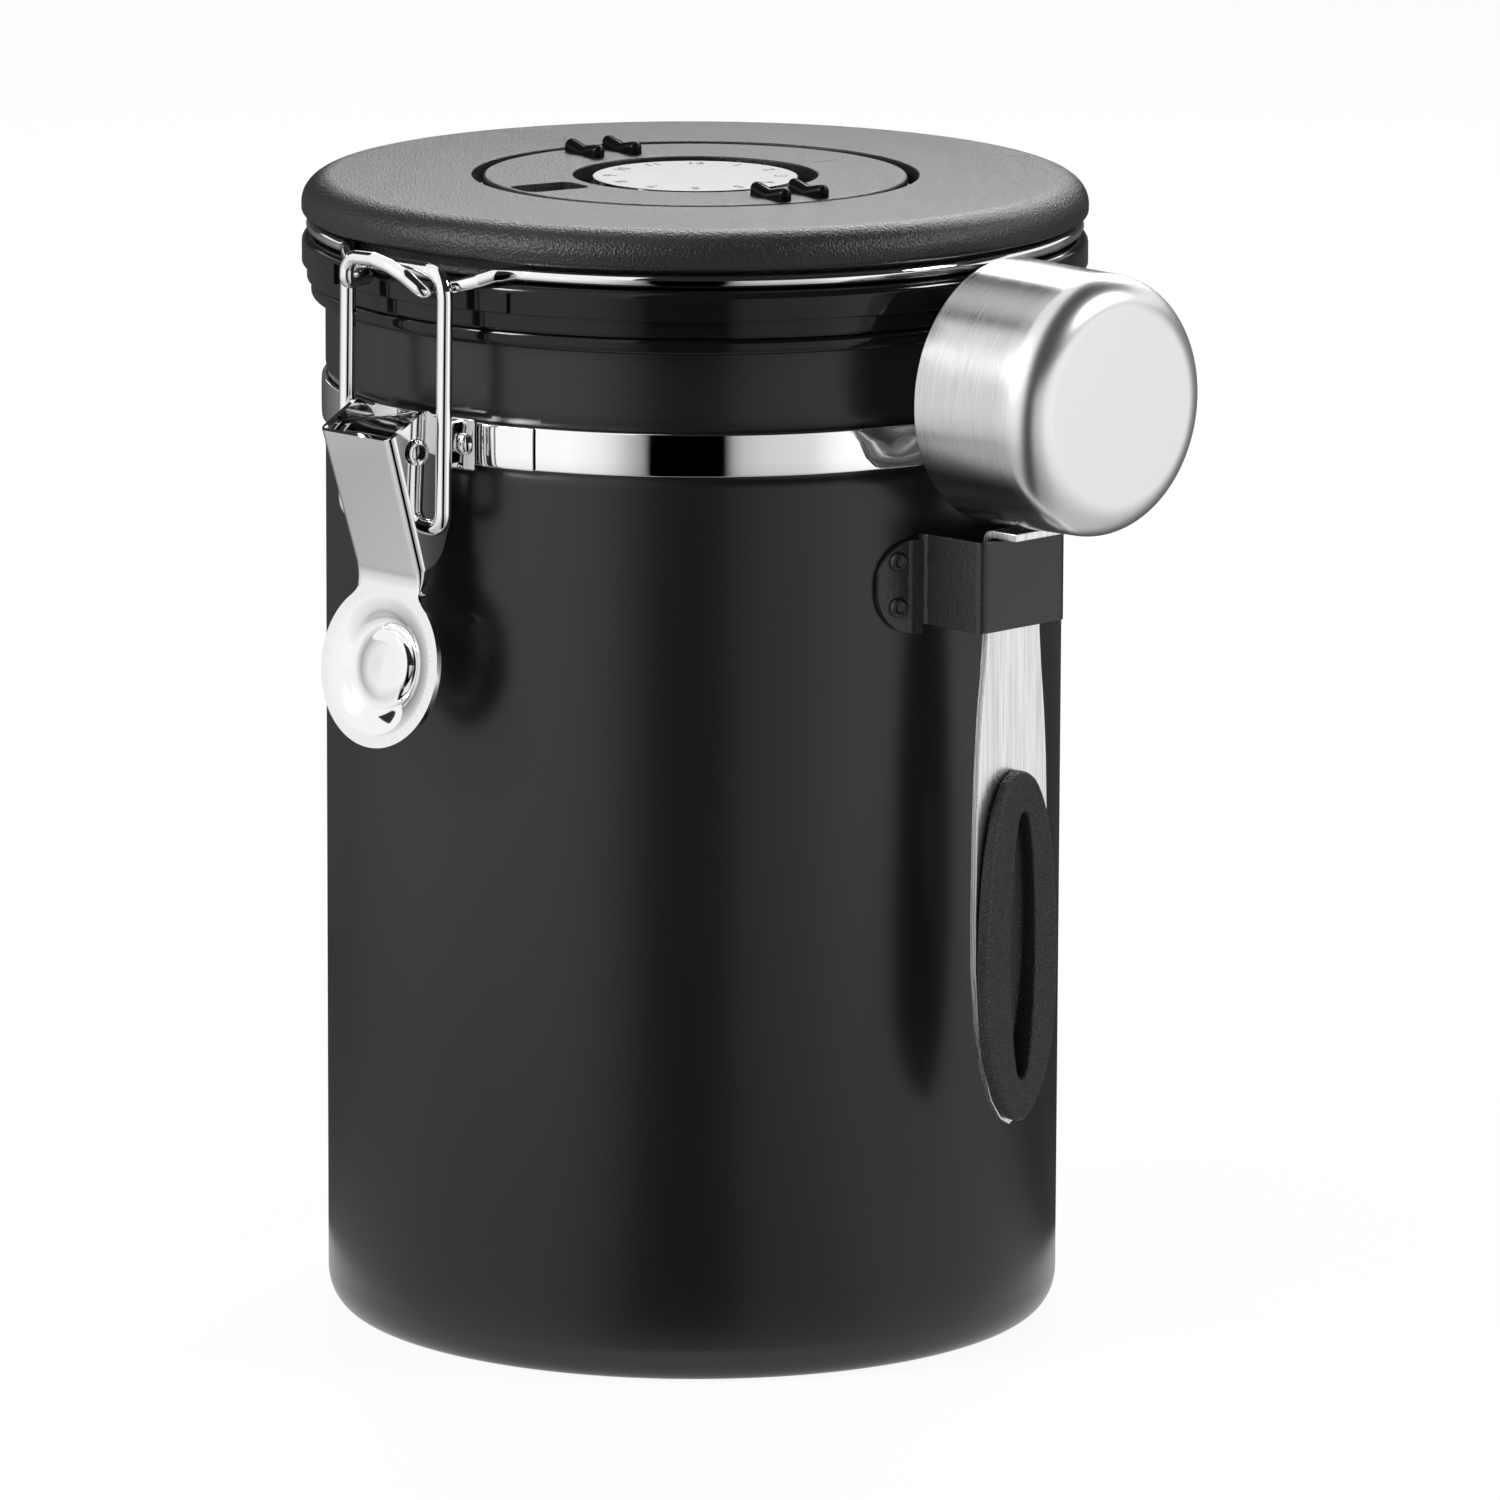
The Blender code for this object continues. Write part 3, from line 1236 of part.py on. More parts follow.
def ridge_solid(name, pair, side, margin):
    """A finger ridge, rounded at both ends and hollowed along its back. A margin makes its pocket."""
    half = RIDGE_LENGTH / 2
    low = -RIDGE_ROOT - margin
    reach = half + margin
    if margin:
        outline = [(-reach, low), (reach, low), (reach, RIDGE_HEIGHT), (-reach, RIDGE_HEIGHT)]
    else:
        end = RIDGE_HEIGHT / 2
        outer_end = arc((half - end, RIDGE_HEIGHT - end), (end, end), 0, 90, 4)
        inner_end = arc((-half + end, RIDGE_HEIGHT - end), (end, end), 90, 180, 4)
        sag = (0, RIDGE_HEIGHT - RIDGE_SAG)
        outline = [(-half, low), (half, low), *outer_end, sag, *inner_end]
    # the outline's x runs out from the axis and its y up
    turn = Matrix.Rotation(math.radians(RIDGE_AZ + pair), 4, "Z")
    offset = Matrix.Translation((side * RIDGE_SPACING / 2, -RIDGE_MIDDLE_RADIUS, RING_TOP_Z))
    return plate(name, [outline], RIDGE_WIDTH + 2 * margin, GLOSS_PLASTIC, turn @ offset @ FRONT_SIDE)


def make_ridges():
    number = 1
    for pair in (0, 180):
        for side in (-1, 1):
            ridge_solid(f"finger_ridge_{number}", pair, side, 0)
            number += 1


def make_day_plate():
    low = DIAL_WELL_FLOOR_Z + FIT_GAP
    top = low + DAY_PLATE_THICKNESS
    inner = RING_INNER_RADIUS + RING_LIP_WIDTH + FIT_GAP
    outer = DIAL_WELL_RADIUS - DAY_PLATE_MARGIN
    profile = [(inner, top), (outer, top), (outer, low), (inner, low)]
    turned("day_plate", profile, DIAL_WHITE, SMALL_LATHE_STEPS, closed=True)


def make_dial():
    low = DIAL_WELL_FLOOR_Z + FIT_GAP
    roof_low = DIAL_TOP_Z - DIAL_THICKNESS
    bore = DIAL_RADIUS - DIAL_SKIRT
    profile = [
        (0, DIAL_TOP_Z),
        (DIAL_RADIUS - DIAL_BEVEL, DIAL_TOP_Z),
        (DIAL_RADIUS, DIAL_TOP_Z - 2 * DIAL_BEVEL),
        (DIAL_RADIUS, low),
        (bore, low),
        (bore, roof_low),
        (0, roof_low),
    ]
    dial = turned("dial_disc", profile, DIAL_WHITE, SMALL_LATHE_STEPS)
    half = DIAL_NOTCH_WIDTH / 2
    for i in range(DIAL_NOTCH_COUNT):
        turn = Matrix.Rotation(2 * math.pi * (i + 0.5) / DIAL_NOTCH_COUNT, 4, "Z")
        corner = (half, DIAL_RADIUS + OVERRUN, (low + roof_low) / 2)
        cut(dial, block("notch", (-half, bore - OVERRUN, low - OVERRUN), corner, turn))


# Scoop


def make_scoop_bracket():
    """The strap in plan, along its middle line: foot, side wall, front, and the same again."""
    middle = STRAP_SHEET / 2
    foot_r = BODY_RADIUS + FIT_GAP + middle
    wall = STRAP_INNER_HALF + middle
    front = STRAP_FRONT_R - middle
    root_deg = azimuth_at(wall + STRAP_FOOT_BEND, foot_r)
    end_deg = azimuth_at(STRAP_FOOT_T, foot_r)
    foot = []
    for i in range(4):
        angle = math.radians(end_deg + (root_deg - end_deg) * i / 3)
        foot.append((foot_r * math.cos(angle), foot_r * math.sin(angle), 0))
    root = (foot[-1][0] + STRAP_FOOT_BEND, wall, 0)
    bend = rounded_path([foot[-2], foot[-1], root, (front, wall, 0)], STRAP_FOOT_BEND, 4)
    start = foot[:-2] + [tuple(p) for p in bend[:-1]]
    nose = rounded_path([start[-1], (front, wall, 0), (front, 0, 0)], STRAP_CORNER, 4)
    half = start + [tuple(p) for p in nose[1:-1]]
    path = half + [(x, -y, 0) for x, y, _ in reversed(half)]
    height = STRAP_TOP_Z - STRAP_FOOT_LOW_Z
    raised = Matrix.Translation((0, 0, (STRAP_TOP_Z + STRAP_FOOT_LOW_Z) / 2))
    strap = plate("scoop_bracket", [sheet_outline(path, STRAP_SHEET)], height, COATED_STEEL, raised)
    # seen from outside, the feet are D-shaped and lie a little lower than the loop
    loop_half = wall + middle + FIT_GAP
    end_y = foot_r * math.sin(math.radians(end_deg))
    turn = (STRAP_FOOT_ROUND, STRAP_FOOT_ROUND)
    corner_y = end_y - STRAP_FOOT_ROUND
    low_turn = arc((corner_y, STRAP_FOOT_LOW_Z + STRAP_FOOT_ROUND), turn, -90, 0, 6)
    top_turn = arc((corner_y, STRAP_FOOT_TOP_Z - STRAP_FOOT_ROUND), turn, 0, 90, 6)
    right = [
        (loop_half, STRAP_LOW_Z),
        (loop_half, STRAP_FOOT_LOW_Z),
        *low_turn,
        *top_turn,
        (loop_half, STRAP_FOOT_TOP_Z),
        (loop_half, STRAP_TOP_Z + OVERRUN),
    ]
    outline = right + [(-y, z) for y, z in reversed(right)]
    keeper = plate("front", [outline], 2 * STRAP_FRONT_R + OVERRUN, COATED_STEEL, SCOOP_FACE)
    combine(strap, keeper, "INTERSECT")


def make_cup():
    """Turned about its own axis, whose height runs out of the canister from the mouth to the bottom."""
    low_radius = CUP_RADIUS - CUP_TAPER
    corner_z = CUP_LENGTH - CUP_CORNER
    outer = arc((low_radius - CUP_CORNER, corner_z), (CUP_CORNER, CUP_CORNER), 90, 0, 5)
    inner_corner = CUP_CORNER - CUP_WALL
    inner = arc((low_radius - CUP_CORNER, corner_z), (inner_corner, inner_corner), 0, 90, 3)
    profile = [
        (0, CUP_LENGTH),
        *outer,
        (CUP_RADIUS, 0),
        (CUP_RADIUS - CUP_WALL, 0),
        *inner,
        (0, CUP_LENGTH - CUP_WALL),
    ]
    matrix = Matrix.Translation((CUP_RIM_R, 0, CUP_Z)) @ ALONG_X
    turned("scoop_cup", profile, BRUSHED_STEEL, 40, matrix=matrix)


def make_handle():
    """A strip bent out at its top, kept inside the leaf outline that it has from the front."""
    tab_end = HANDLE_R + TAB_LENGTH
    corners = [(HANDLE_R, HANDLE_END_Z - OVERRUN, 0), (HANDLE_R, TAB_Z, 0), (tab_end, TAB_Z, 0)]
    side = sheet_outline(rounded_path(corners, TAB_BEND, 5), HANDLE_THICKNESS)
    handle = plate("scoop_handle", [side], HANDLE_WIDTH + OVERRUN, BRUSHED_STEEL, SCOOP_SIDE)
    half = HANDLE_WIDTH / 2
    outline = leaf_outline(HANDLE_LEAF_SHARES, half, HANDLE_END_Z, TAB_Z + HANDLE_THICKNESS)
    keeper = plate("front", [outline], 2 * tab_end + OVERRUN, BRUSHED_STEEL, SCOOP_FACE)
    combine(handle, keeper, "INTERSECT")
    margin = GRIP_SLEEVE + FIT_GAP
    hole = leaf_outline(
        HOLE_LEAF_SHARES,
        GRIP_HOLE_WIDTH / 2 + margin,
        GRIP_HOLE_LOW_Z - margin,
        GRIP_HOLE_TOP_Z + margin,
    )
    middle = SCOOP_FACE.copy()
    middle.translation = (HANDLE_R, 0, 0)
    cut(handle, plate("slot", [hole], HANDLE_THICKNESS + OVERRUN, BRUSHED_STEEL, middle))


def make_grip():
    """The rubber ring on the strip's front face, and the sleeve that lines the strip's hole."""
    low_z = HANDLE_END_Z + GRIP_INSET + FIT_GAP
    half = GRIP_WIDTH / 2
    slot = GRIP_HOLE_WIDTH / 2
    back = HANDLE_FRONT_R + FIT_GAP
    shoulder = back + GRIP_HEIGHT - GRIP_BEVEL
    crown = back + GRIP_HEIGHT
    sleeve_back = HANDLE_BACK_R - GRIP_SLEEVE_PROUD

    def outer(inset, r):
        leaf = leaf_outline(GRIP_LEAF_SHARES, half - inset, low_z + inset, GRIP_TOP_Z - inset)
        return [(r, t, z) for t, z in leaf]

    def inner(margin, r):
        ends = (GRIP_HOLE_LOW_Z - margin, GRIP_HOLE_TOP_Z + margin)
        leaf = leaf_outline(HOLE_LEAF_SHARES, slot + margin, *ends)
        return [(r, t, z) for t, z in leaf]

    loops = [
        outer(0, back),
        outer(0, shoulder),
        outer(GRIP_BEVEL, crown),
        inner(GRIP_BEVEL / 2, crown),
        inner(0, shoulder),
        inner(0, sleeve_back),
        inner(GRIP_SLEEVE, sleeve_back),
        inner(GRIP_SLEEVE, back),
    ]
    lofted("scoop_grip", loops, RUBBER, ring=True)


def main():
    make_body()
    make_collar()
    make_band()
    make_bracket()
    make_pivot_pin()
    make_lever()
    make_link()
    make_lid_wire()
    make_hinge_plate()
    plate_face = BAND_RADIUS + FIT_GAP + HINGE_SHEET
    make_rivet("latch_rivet_left", BRACKET_FACE_R, -LATCH_RIVET_DEG)
    make_rivet("latch_rivet_right", BRACKET_FACE_R, LATCH_RIVET_DEG)
    make_rivet("hinge_rivet_left", plate_face, 180, HINGE_RIVET_X)
    make_rivet("hinge_rivet_right", plate_face, 180, -HINGE_RIVET_X)
    make_lid_cover()
    make_lid_base()
    make_gasket()
    make_valve()
    make_date_ring()
    make_ridges()
    make_day_plate()
    make_dial()
    make_scoop_bracket()
    make_cup()
    make_handle()
    make_grip()


main()
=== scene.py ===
import math

import bmesh
import bpy
from mathutils import Matrix, Vector


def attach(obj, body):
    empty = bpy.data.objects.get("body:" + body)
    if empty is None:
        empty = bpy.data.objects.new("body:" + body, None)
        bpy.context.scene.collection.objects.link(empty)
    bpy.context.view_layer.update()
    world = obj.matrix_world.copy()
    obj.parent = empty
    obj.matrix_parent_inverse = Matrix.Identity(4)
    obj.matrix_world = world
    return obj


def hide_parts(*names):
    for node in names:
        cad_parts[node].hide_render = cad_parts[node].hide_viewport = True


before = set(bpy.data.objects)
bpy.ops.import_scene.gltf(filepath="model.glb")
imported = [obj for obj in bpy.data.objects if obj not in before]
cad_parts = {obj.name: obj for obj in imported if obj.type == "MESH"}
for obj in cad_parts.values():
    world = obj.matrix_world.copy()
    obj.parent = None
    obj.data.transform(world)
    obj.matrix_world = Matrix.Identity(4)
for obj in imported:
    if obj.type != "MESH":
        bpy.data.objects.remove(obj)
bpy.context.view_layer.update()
print("frame loaded:", len(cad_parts), "nodes")


# helpers: shader maths, materials


class Val:
    # a node socket that can be used in a formula
    def __init__(self, tree, socket):
        self.tree = tree
        self.socket = socket

    def math(self, operation, *others, flip=False):
        node = self.tree.nodes.new("ShaderNodeMath")
        node.operation = operation
        terms = [self, *others]
        if flip:
            terms.reverse()
        for socket, term in zip(node.inputs, terms):
            plug(self.tree, socket, term)
        return Val(self.tree, node.outputs[0])

    def __add__(self, other):
        return self.math("ADD", other)

    def __sub__(self, other):
        return self.math("SUBTRACT", other)

    def __rsub__(self, other):
        return self.math("SUBTRACT", other, flip=True)

    def __mul__(self, other):
        return self.math("MULTIPLY", other)

    def __truediv__(self, other):
        return self.math("DIVIDE", other)

    def __pow__(self, other):
        return self.math("POWER", other)

    __radd__ = __add__
    __rmul__ = __mul__


def plug(tree, socket, term):
    # a value goes on the socket, a link comes from a Val
    if isinstance(term, Val):
        tree.links.new(term.socket, socket)
    else:
        socket.default_value = term


def grey(level):
    return (level, level, level, 1.0)


def addNode(tree, kind, settings=None, output=0, **sockets):
    # one node: its settings, with a ramp's stops, then the values or links of its sockets
    node = tree.nodes.new("ShaderNode" + kind)
    for name, value in (settings or {}).items():
        if name == "stops":
            ramp = node.color_ramp.elements
            while len(ramp) < len(value):
                ramp.new(0.5)
            for stop, (place, level) in zip(ramp, value):
                stop.position = place
                stop.color = grey(level)
        else:
            setattr(node, name, value)
    for label, value in sockets.items():
        plug(tree, node.inputs[label.replace("_", " ")], value)
    return Val(tree, node.outputs[output])


class Finish:
    # one material and its Principled shader
    def __init__(self, name, colour, roughness, metallic=0.0, **sockets):
        self.material = bpy.data.materials.new(name)
        self.material.use_nodes = True
        self.tree = self.material.node_tree
        self.shader = self.tree.nodes["Principled BSDF"]
        self.set("Base Color", (*colour, 1.0))
        self.set("Roughness", roughness)
        self.set("Metallic", metallic)
        for label, value in sockets.items():
            self.set(label.replace("_", " "), value)
        self.material.diffuse_color = (*colour, 1.0)

    def set(self, label, term):
        plug(self.tree, self.shader.inputs[label], term)

    def node(self, kind, settings=None, output=0, **sockets):
        return addNode(self.tree, kind, settings, output, **sockets)

    def place(self, scale=(1, 1, 1), centre=(0, 0, 0)):
        # Object coordinates in metres, centred and stretched
        coords = self.node("TexCoord", output="Object")
        moved = self.node("VectorMath", {"operation": "SUBTRACT"}, Vector=coords)
        self.tree.nodes[-1].inputs[1].default_value = centre
        return self.node("Mapping", {"vector_type": "POINT"}, Vector=moved, Scale=scale)

    def noise(self, scale, detail=3.0, where=None):
        return self.node("TexNoise", None, "Fac", Vector=where or self.place(), Scale=scale, Detail=detail)

    def bump(self, height, strength, distance):
        relief = self.node("Bump", None, "Normal", Height=height, Strength=strength, Distance=distance)
        self.set("Normal", relief)


# finishes


def powderCoat():
    finish = Finish("powderCoat", (0.0062, 0.0062, 0.0066), 0.28, Specular_IOR_Level=0.5)
    grain = finish.noise(2400.0, 2.0)
    cloud = finish.noise(14.0, 3.0)
    finish.set("Roughness", 0.25 + 0.08 * cloud)
    finish.bump(grain, 0.05, 0.0001)
    return finish.material


def strapCoat():
    finish = Finish("strapCoat", (0.012, 0.012, 0.0125), 0.28)
    peel = finish.noise(1300.0, 3.0)
    finish.set("Roughness", 0.20 + 0.16 * finish.noise(90.0))
    finish.bump(peel, 0.3, 0.0002)
    return finish.material


def lidPlastic():
    finish = Finish("lidPlastic", (0.013, 0.013, 0.0135), 0.34, Specular_IOR_Level=0.35)
    grain = finish.noise(2300.0, 3.0)
    finish.set("Roughness", 0.25 + 0.08 * finish.noise(40.0))
    finish.bump(grain, 0.75, 0.0003)
    return finish.material


def brushedCup():
    # fine lines run round the side and fade out towards the plain bottom
    finish = Finish("brushedCup", (0.80, 0.80, 0.81), 0.2, 1.0)
    lines = finish.noise(1.0, 4.0, finish.place(scale=(6500.0, 160.0, 160.0)))
    out = finish.node("SeparateXYZ", None, "X", Vector=finish.place())
    side = ((0.0955 - out) / 0.005).math("MINIMUM", 1.0).math("MAXIMUM", 0.0)
    finish.set("Base Color", 0.80 - side * (0.30 - 0.24 * lines))
    finish.set("Roughness", 0.30 + side * (0.16 * lines - 0.20))
    finish.bump(lines * side, 0.12, 0.0001)
    return finish.material


def brushedHandle():
    # long upright lines, some of them darker
    finish = Finish("brushedHandle", (0.74, 0.74, 0.75), 0.26, 1.0)
    lines = finish.noise(1.0, 4.0, finish.place(scale=(2600.0, 2600.0, 60.0)))
    streaks = finish.noise(1.0, 3.0, finish.place(scale=(900.0, 900.0, 28.0), centre=(0.01, 0.02, 0.0)))
    finish.set("Base Color", (0.22 + 0.75 * lines + 0.45 * streaks).math("MINIMUM", 0.9))
    finish.set("Roughness", 0.18 + 0.18 * lines)
    finish.bump(lines, 0.25, 0.0001)
    return finish.material


def gripRubber():
    finish = Finish("gripRubber", (0.010, 0.010, 0.0105), 0.45)
    grain = finish.noise(3000.0, 5.0)
    patches = finish.noise(500.0, 2.0)
    finish.set("Roughness", 0.62 - 0.42 * grain)
    # painted glints: the grain's peaks are lighter in colour; the patches are the rubber's own tone
    finish.set("Base Color", 0.055 * grain ** 3.0 + 0.012 * patches)
    finish.bump(grain, 1.0, 0.0006)
    return finish.material


def filterFelt():
    finish = Finish("filterFelt", (0.66, 0.63, 0.56), 0.95)
    fibres = finish.noise(1800.0, 5.0)
    finish.bump(fibres, 0.6, 0.0003)
    return finish.material


def evenFinish(name, colour, roughness, drift, metallic=0.0, **sockets):
    # one colour; the drift is the roughness's least, its spread and how fine its patches are
    finish = Finish(name, colour, roughness, metallic, **sockets)
    least, spread, fineness = drift
    finish.set("Roughness", least + spread * finish.noise(fineness))
    return finish.material


coat = powderCoat()
strapBlack = strapCoat()
lidBlack = lidPlastic()
glossBlack = evenFinish("glossPlastic", (0.005, 0.005, 0.0055), 0.1, (0.06, 0.07, 60.0),
                        Specular_IOR_Level=0.3)
ridgeBlack = evenFinish("ridgePlastic", (0.004, 0.004, 0.0045), 0.2, (0.14, 0.1, 300.0),
                        Specular_IOR_Level=0.12)
chrome = evenFinish("chromeWire", (0.88, 0.88, 0.885), 0.05, (0.03, 0.05, 300.0), 1.0)
bandChrome = evenFinish("rolledBand", (0.93, 0.93, 0.935), 0.04, (0.02, 0.05, 160.0), 1.0)
polished = evenFinish("polishedSteel", (0.90, 0.90, 0.905), 0.06, (0.035, 0.05, 120.0), 1.0)
cupSteel = brushedCup()
handleSteel = brushedHandle()
rubber = gripRubber()
dialWhite = evenFinish("dialFace", (0.36, 0.36, 0.37), 0.34, (0.30, 0.10, 800.0))
silicone = evenFinish("siliconeGrey", (0.55, 0.55, 0.53), 0.5, (0.45, 0.1, 400.0))
felt = filterFelt()
markInk = evenFinish("printInk", (0.012, 0.012, 0.013), 0.5, (0.42, 0.2, 900.0))
print("finishes made")

nodesOf = (
    (coat, "canister_body"), (glossBlack, "collar_ring"), (strapBlack, "scoop_bracket"),
    (chrome, "band_strap", "latch_bracket", "latch_rivet_left", "latch_rivet_right", "hinge_plate",
     "hinge_rivet_left", "hinge_rivet_right", "lever_pivot_pin", "link_wire", "lid_wire"),
    (polished, "latch_lever"), (silicone, "lid_gasket", "valve_disc"), (felt, "valve_filter"),
    (lidBlack, "lid_cover", "lid_base", "valve_cap", "valve_grille", "date_ring"),
    (dialWhite, "day_plate", "dial_disc"),
    (glossBlack, "finger_ridge_1", "finger_ridge_2", "finger_ridge_3", "finger_ridge_4"),
    (cupSteel, "scoop_cup"), (handleSteel, "scoop_handle"), (rubber, "scoop_grip"),
)
for material, *nodeNames in nodesOf:
    for nodeName in nodeNames:
        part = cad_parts[nodeName]
        part.data.materials.clear()
        part.data.materials.append(material)


# making pieces: sizes are in millimetres until a piece is settled

mm = 0.001
# out and up, at the clamp's side
upright = Matrix(((0, 0, 1, 0), (-1, 0, 0, 0), (0, 1, 0, 0), (0, 0, 0, 1)))
# across and up, seen from the scoop's side and from the clamp's side
scoopSide = Matrix(((0, 0, 1, 0), (1, 0, 0, 0), (0, 1, 0, 0), (0, 0, 0, 1)))
frontFace = Matrix(((1, 0, 0, 0), (0, 0, -1, 0), (0, 1, 0, 0), (0, 0, 0, 1)))


def swing(mesh, azimuth):
    # turns a mesh about the canister's axis
    turn = Matrix.Rotation(math.radians(azimuth), 3, "Z")
    bmesh.ops.rotate(mesh, verts=mesh.verts, cent=(0, 0, 0), matrix=turn)


def seated(mesh, matrix):
    # moves a mesh from the origin to its seat
    bmesh.ops.transform(mesh, verts=mesh.verts, matrix=matrix)


def trimmed(mesh, place, normal):
    # cuts off what lies beyond a plane, on the side of its normal
    everything = mesh.verts[:] + mesh.edges[:] + mesh.faces[:]
    bmesh.ops.bisect_plane(mesh, geom=everything, plane_co=place, plane_no=normal, clear_outer=True)


def rectangle(left, right, low, high, *corner):
    return [(left, low, *corner), (right, low, *corner), (right, high, *corner), (left, high, *corner)]


def curveAt(a, corner, b, t):
    # a place on the curve that leaves a and reaches b, both towards the corner
    return a * (1 - t) ** 2 + corner * 2 * t * (1 - t) + b * t * t


def wireOutline(points, seat=upright, closed=True, segments=5):
    # edges through flat points; a third number is the width of a rounded corner
    mesh = bmesh.new()
    verts = [mesh.verts.new(seat @ Vector((p[0], p[1], 0))) for p in points]
    for a, b in zip(verts, verts[1:]):
        mesh.edges.new((a, b))
    if closed:
        mesh.edges.new((verts[-1], verts[0]))
    widths = [p[2] if len(p) > 2 else 0 for p in points]
    for width in sorted(set(widths) - {0}):
        corners = [v for v, w in zip(verts, widths) if w == width]
        bmesh.ops.bevel(mesh, geom=corners, offset=width, segments=segments, profile=0.5,
                        affect="VERTICES", material=-1)
    return mesh


def turned(points, steps=192, sweep=360, start=0, closed=True):
    # a profile of radius and height, spun about the canister's axis from an azimuth
    return spun(wireOutline(points, closed=closed), steps, sweep, start)


def sweepRound(mesh, steps, sweep):
    # draws the faces that edges leave as they turn about the canister's axis
    bmesh.ops.spin(mesh, geom=mesh.verts[:] + mesh.edges[:], cent=(0, 0, 0), axis=(0, 0, 1),
                   angle=math.radians(sweep), steps=steps, use_merge=sweep == 360)


def spun(mesh, steps, sweep=360, start=0):
    # an outline swept round from an azimuth, with its two ends closed where it stops short
    swing(mesh, start)
    sweepRound(mesh, steps, sweep)
    if sweep != 360:
        bmesh.ops.holes_fill(mesh, edges=[e for e in mesh.edges if e.is_boundary], sides=0)
    bmesh.ops.remove_doubles(mesh, verts=mesh.verts, dist=0.001)
    return mesh


def vertsOf(geom):
    return [v for v in geom if isinstance(v, bmesh.types.BMVert)]


def slab(points, thickness, seat):
    # a flat outline given a thickness, half each way
    mesh = wireOutline(points, seat)
    bmesh.ops.contextual_create(mesh, geom=mesh.verts[:] + mesh.edges[:])
    way = seat.to_3x3() @ Vector((0, 0, thickness))
    bmesh.ops.translate(mesh, verts=mesh.verts, vec=-way / 2)
    grown = bmesh.ops.extrude_face_region(mesh, geom=mesh.faces[:])["geom"]
    bmesh.ops.translate(mesh, verts=vertsOf(grown), vec=way)
    return mesh


def merge(mesh):
    # joins the vertices that share a place, and turns the faces outwards
    bmesh.ops.remove_doubles(mesh, verts=mesh.verts, dist=0.001)
    bmesh.ops.recalc_face_normals(mesh, faces=mesh.faces)
    return mesh


def together(*meshes):
    # several meshes in one
    whole = bmesh.new()
    for mesh in meshes:
        data = bpy.data.meshes.new("loose")
        mesh.to_mesh(data)
        mesh.free()
        whole.from_mesh(data)
        bpy.data.meshes.remove(data)
    return whole


def shaped(mesh, *tools, operation="DIFFERENCE"):
    # cuts closed meshes out of a closed mesh, or joins them to it
    solids = []
    for part in (mesh, *tools):
        data = bpy.data.meshes.new("carving")
        merge(part).to_mesh(data)
        part.free()
        solids.append(bpy.data.objects.new("carving", data))
        bpy.context.scene.collection.objects.link(solids[-1])
    for tool in solids[1:]:
        knife = solids[0].modifiers.new("knife", "BOOLEAN")
        knife.operation = operation
        knife.object = tool
    bpy.context.view_layer.update()
    result = bmesh.new()
    result.from_object(solids[0], bpy.context.evaluated_depsgraph_get())
    for solid in solids:
        bpy.data.objects.remove(solid, do_unlink=True)
    return result


def settle(mesh, name, material, body, *stands, edge=0.0, wall=0.0, sharp=33, slot=None):
    # millimetres to metres, smooth but for sharp edges, on its body and in place of its CAD nodes
    bmesh.ops.scale(mesh, verts=mesh.verts, vec=(mm, mm, mm))
    data = bpy.data.meshes.new(name)
    mesh.to_mesh(data)
    mesh.free()
    data.shade_smooth()
    data.set_sharp_from_angle(angle=math.radians(sharp))
    data.materials.append(material)
    piece = bpy.data.objects.new(name, data)
    bpy.context.scene.collection.objects.link(piece)
    if wall:
        thick = piece.modifiers.new("wall", "SOLIDIFY")
        thick.thickness = wall * mm
        thick.offset = -1
        thick.use_even_offset = True
    if edge:
        soft = piece.modifiers.new("edge", "BEVEL")
        soft.width = edge * mm
        soft.segments = 3
        soft.limit_method = "ANGLE"
        soft.angle_limit = math.radians(max(sharp, 35))
    even = piece.modifiers.new("evenNormals", "WEIGHTED_NORMAL")
    even.keep_sharp = True
    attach(piece, body)
    if stands:
        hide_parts(*stands)
    return piece


def refined(node, name, material, body, edge=0.15, sharp=33):
    # a copy of a CAD node with its loose triangles merged, its flats cleaned and its edges softened
    mesh = bmesh.new()
    mesh.from_mesh(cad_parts[node].data)
    bmesh.ops.scale(mesh, verts=mesh.verts, vec=(1000, 1000, 1000))
    bmesh.ops.remove_doubles(mesh, verts=mesh.verts, dist=0.004)
    bmesh.ops.dissolve_limit(mesh, angle_limit=math.radians(0.6), verts=mesh.verts, edges=mesh.edges)
    return settle(mesh, name, material, body, node, edge=edge, sharp=sharp)


def oval(centre, radii, start, end, steps):
    # points along part of an oval, angles in degrees
    return [(centre[0] + radii[0] * math.cos(math.radians(start + (end - start) * i / steps)),
             centre[1] + radii[1] * math.sin(math.radians(start + (end - start) * i / steps)))
            for i in range(steps + 1)]


def softPath(points, bend, steps=8):
    # a wire's way with its corners bent round
    points = [Vector(p) for p in points]
    last = len(points) - 1
    way = [points[0]]
    for i in range(1, last):
        corner = points[i]
        back, on = points[i - 1] - corner, points[i + 1] - corner
        turn = math.pi - back.angle(on)
        if turn < 0.01:
            way.append(corner)
            continue
        freeBack = back.length * (1 if i == 1 else 0.5)
        freeOn = on.length * (1 if i == last - 1 else 0.5)
        reach = min(bend * math.tan(turn / 2), freeBack, freeOn)
        a, b = corner + back.normalized() * reach, corner + on.normalized() * reach
        way += [curveAt(a, corner, b, k / steps) for k in range(steps + 1)]
    return way + [points[last]]


def drawn(holder):
    # the mesh of a curve or text, which is then removed
    bpy.context.view_layer.update()
    data = bpy.data.meshes.new_from_object(holder.evaluated_get(bpy.context.evaluated_depsgraph_get()))
    mesh = bmesh.new()
    mesh.from_mesh(data)
    bpy.data.objects.remove(holder, do_unlink=True)
    bpy.data.meshes.remove(data)
    return mesh


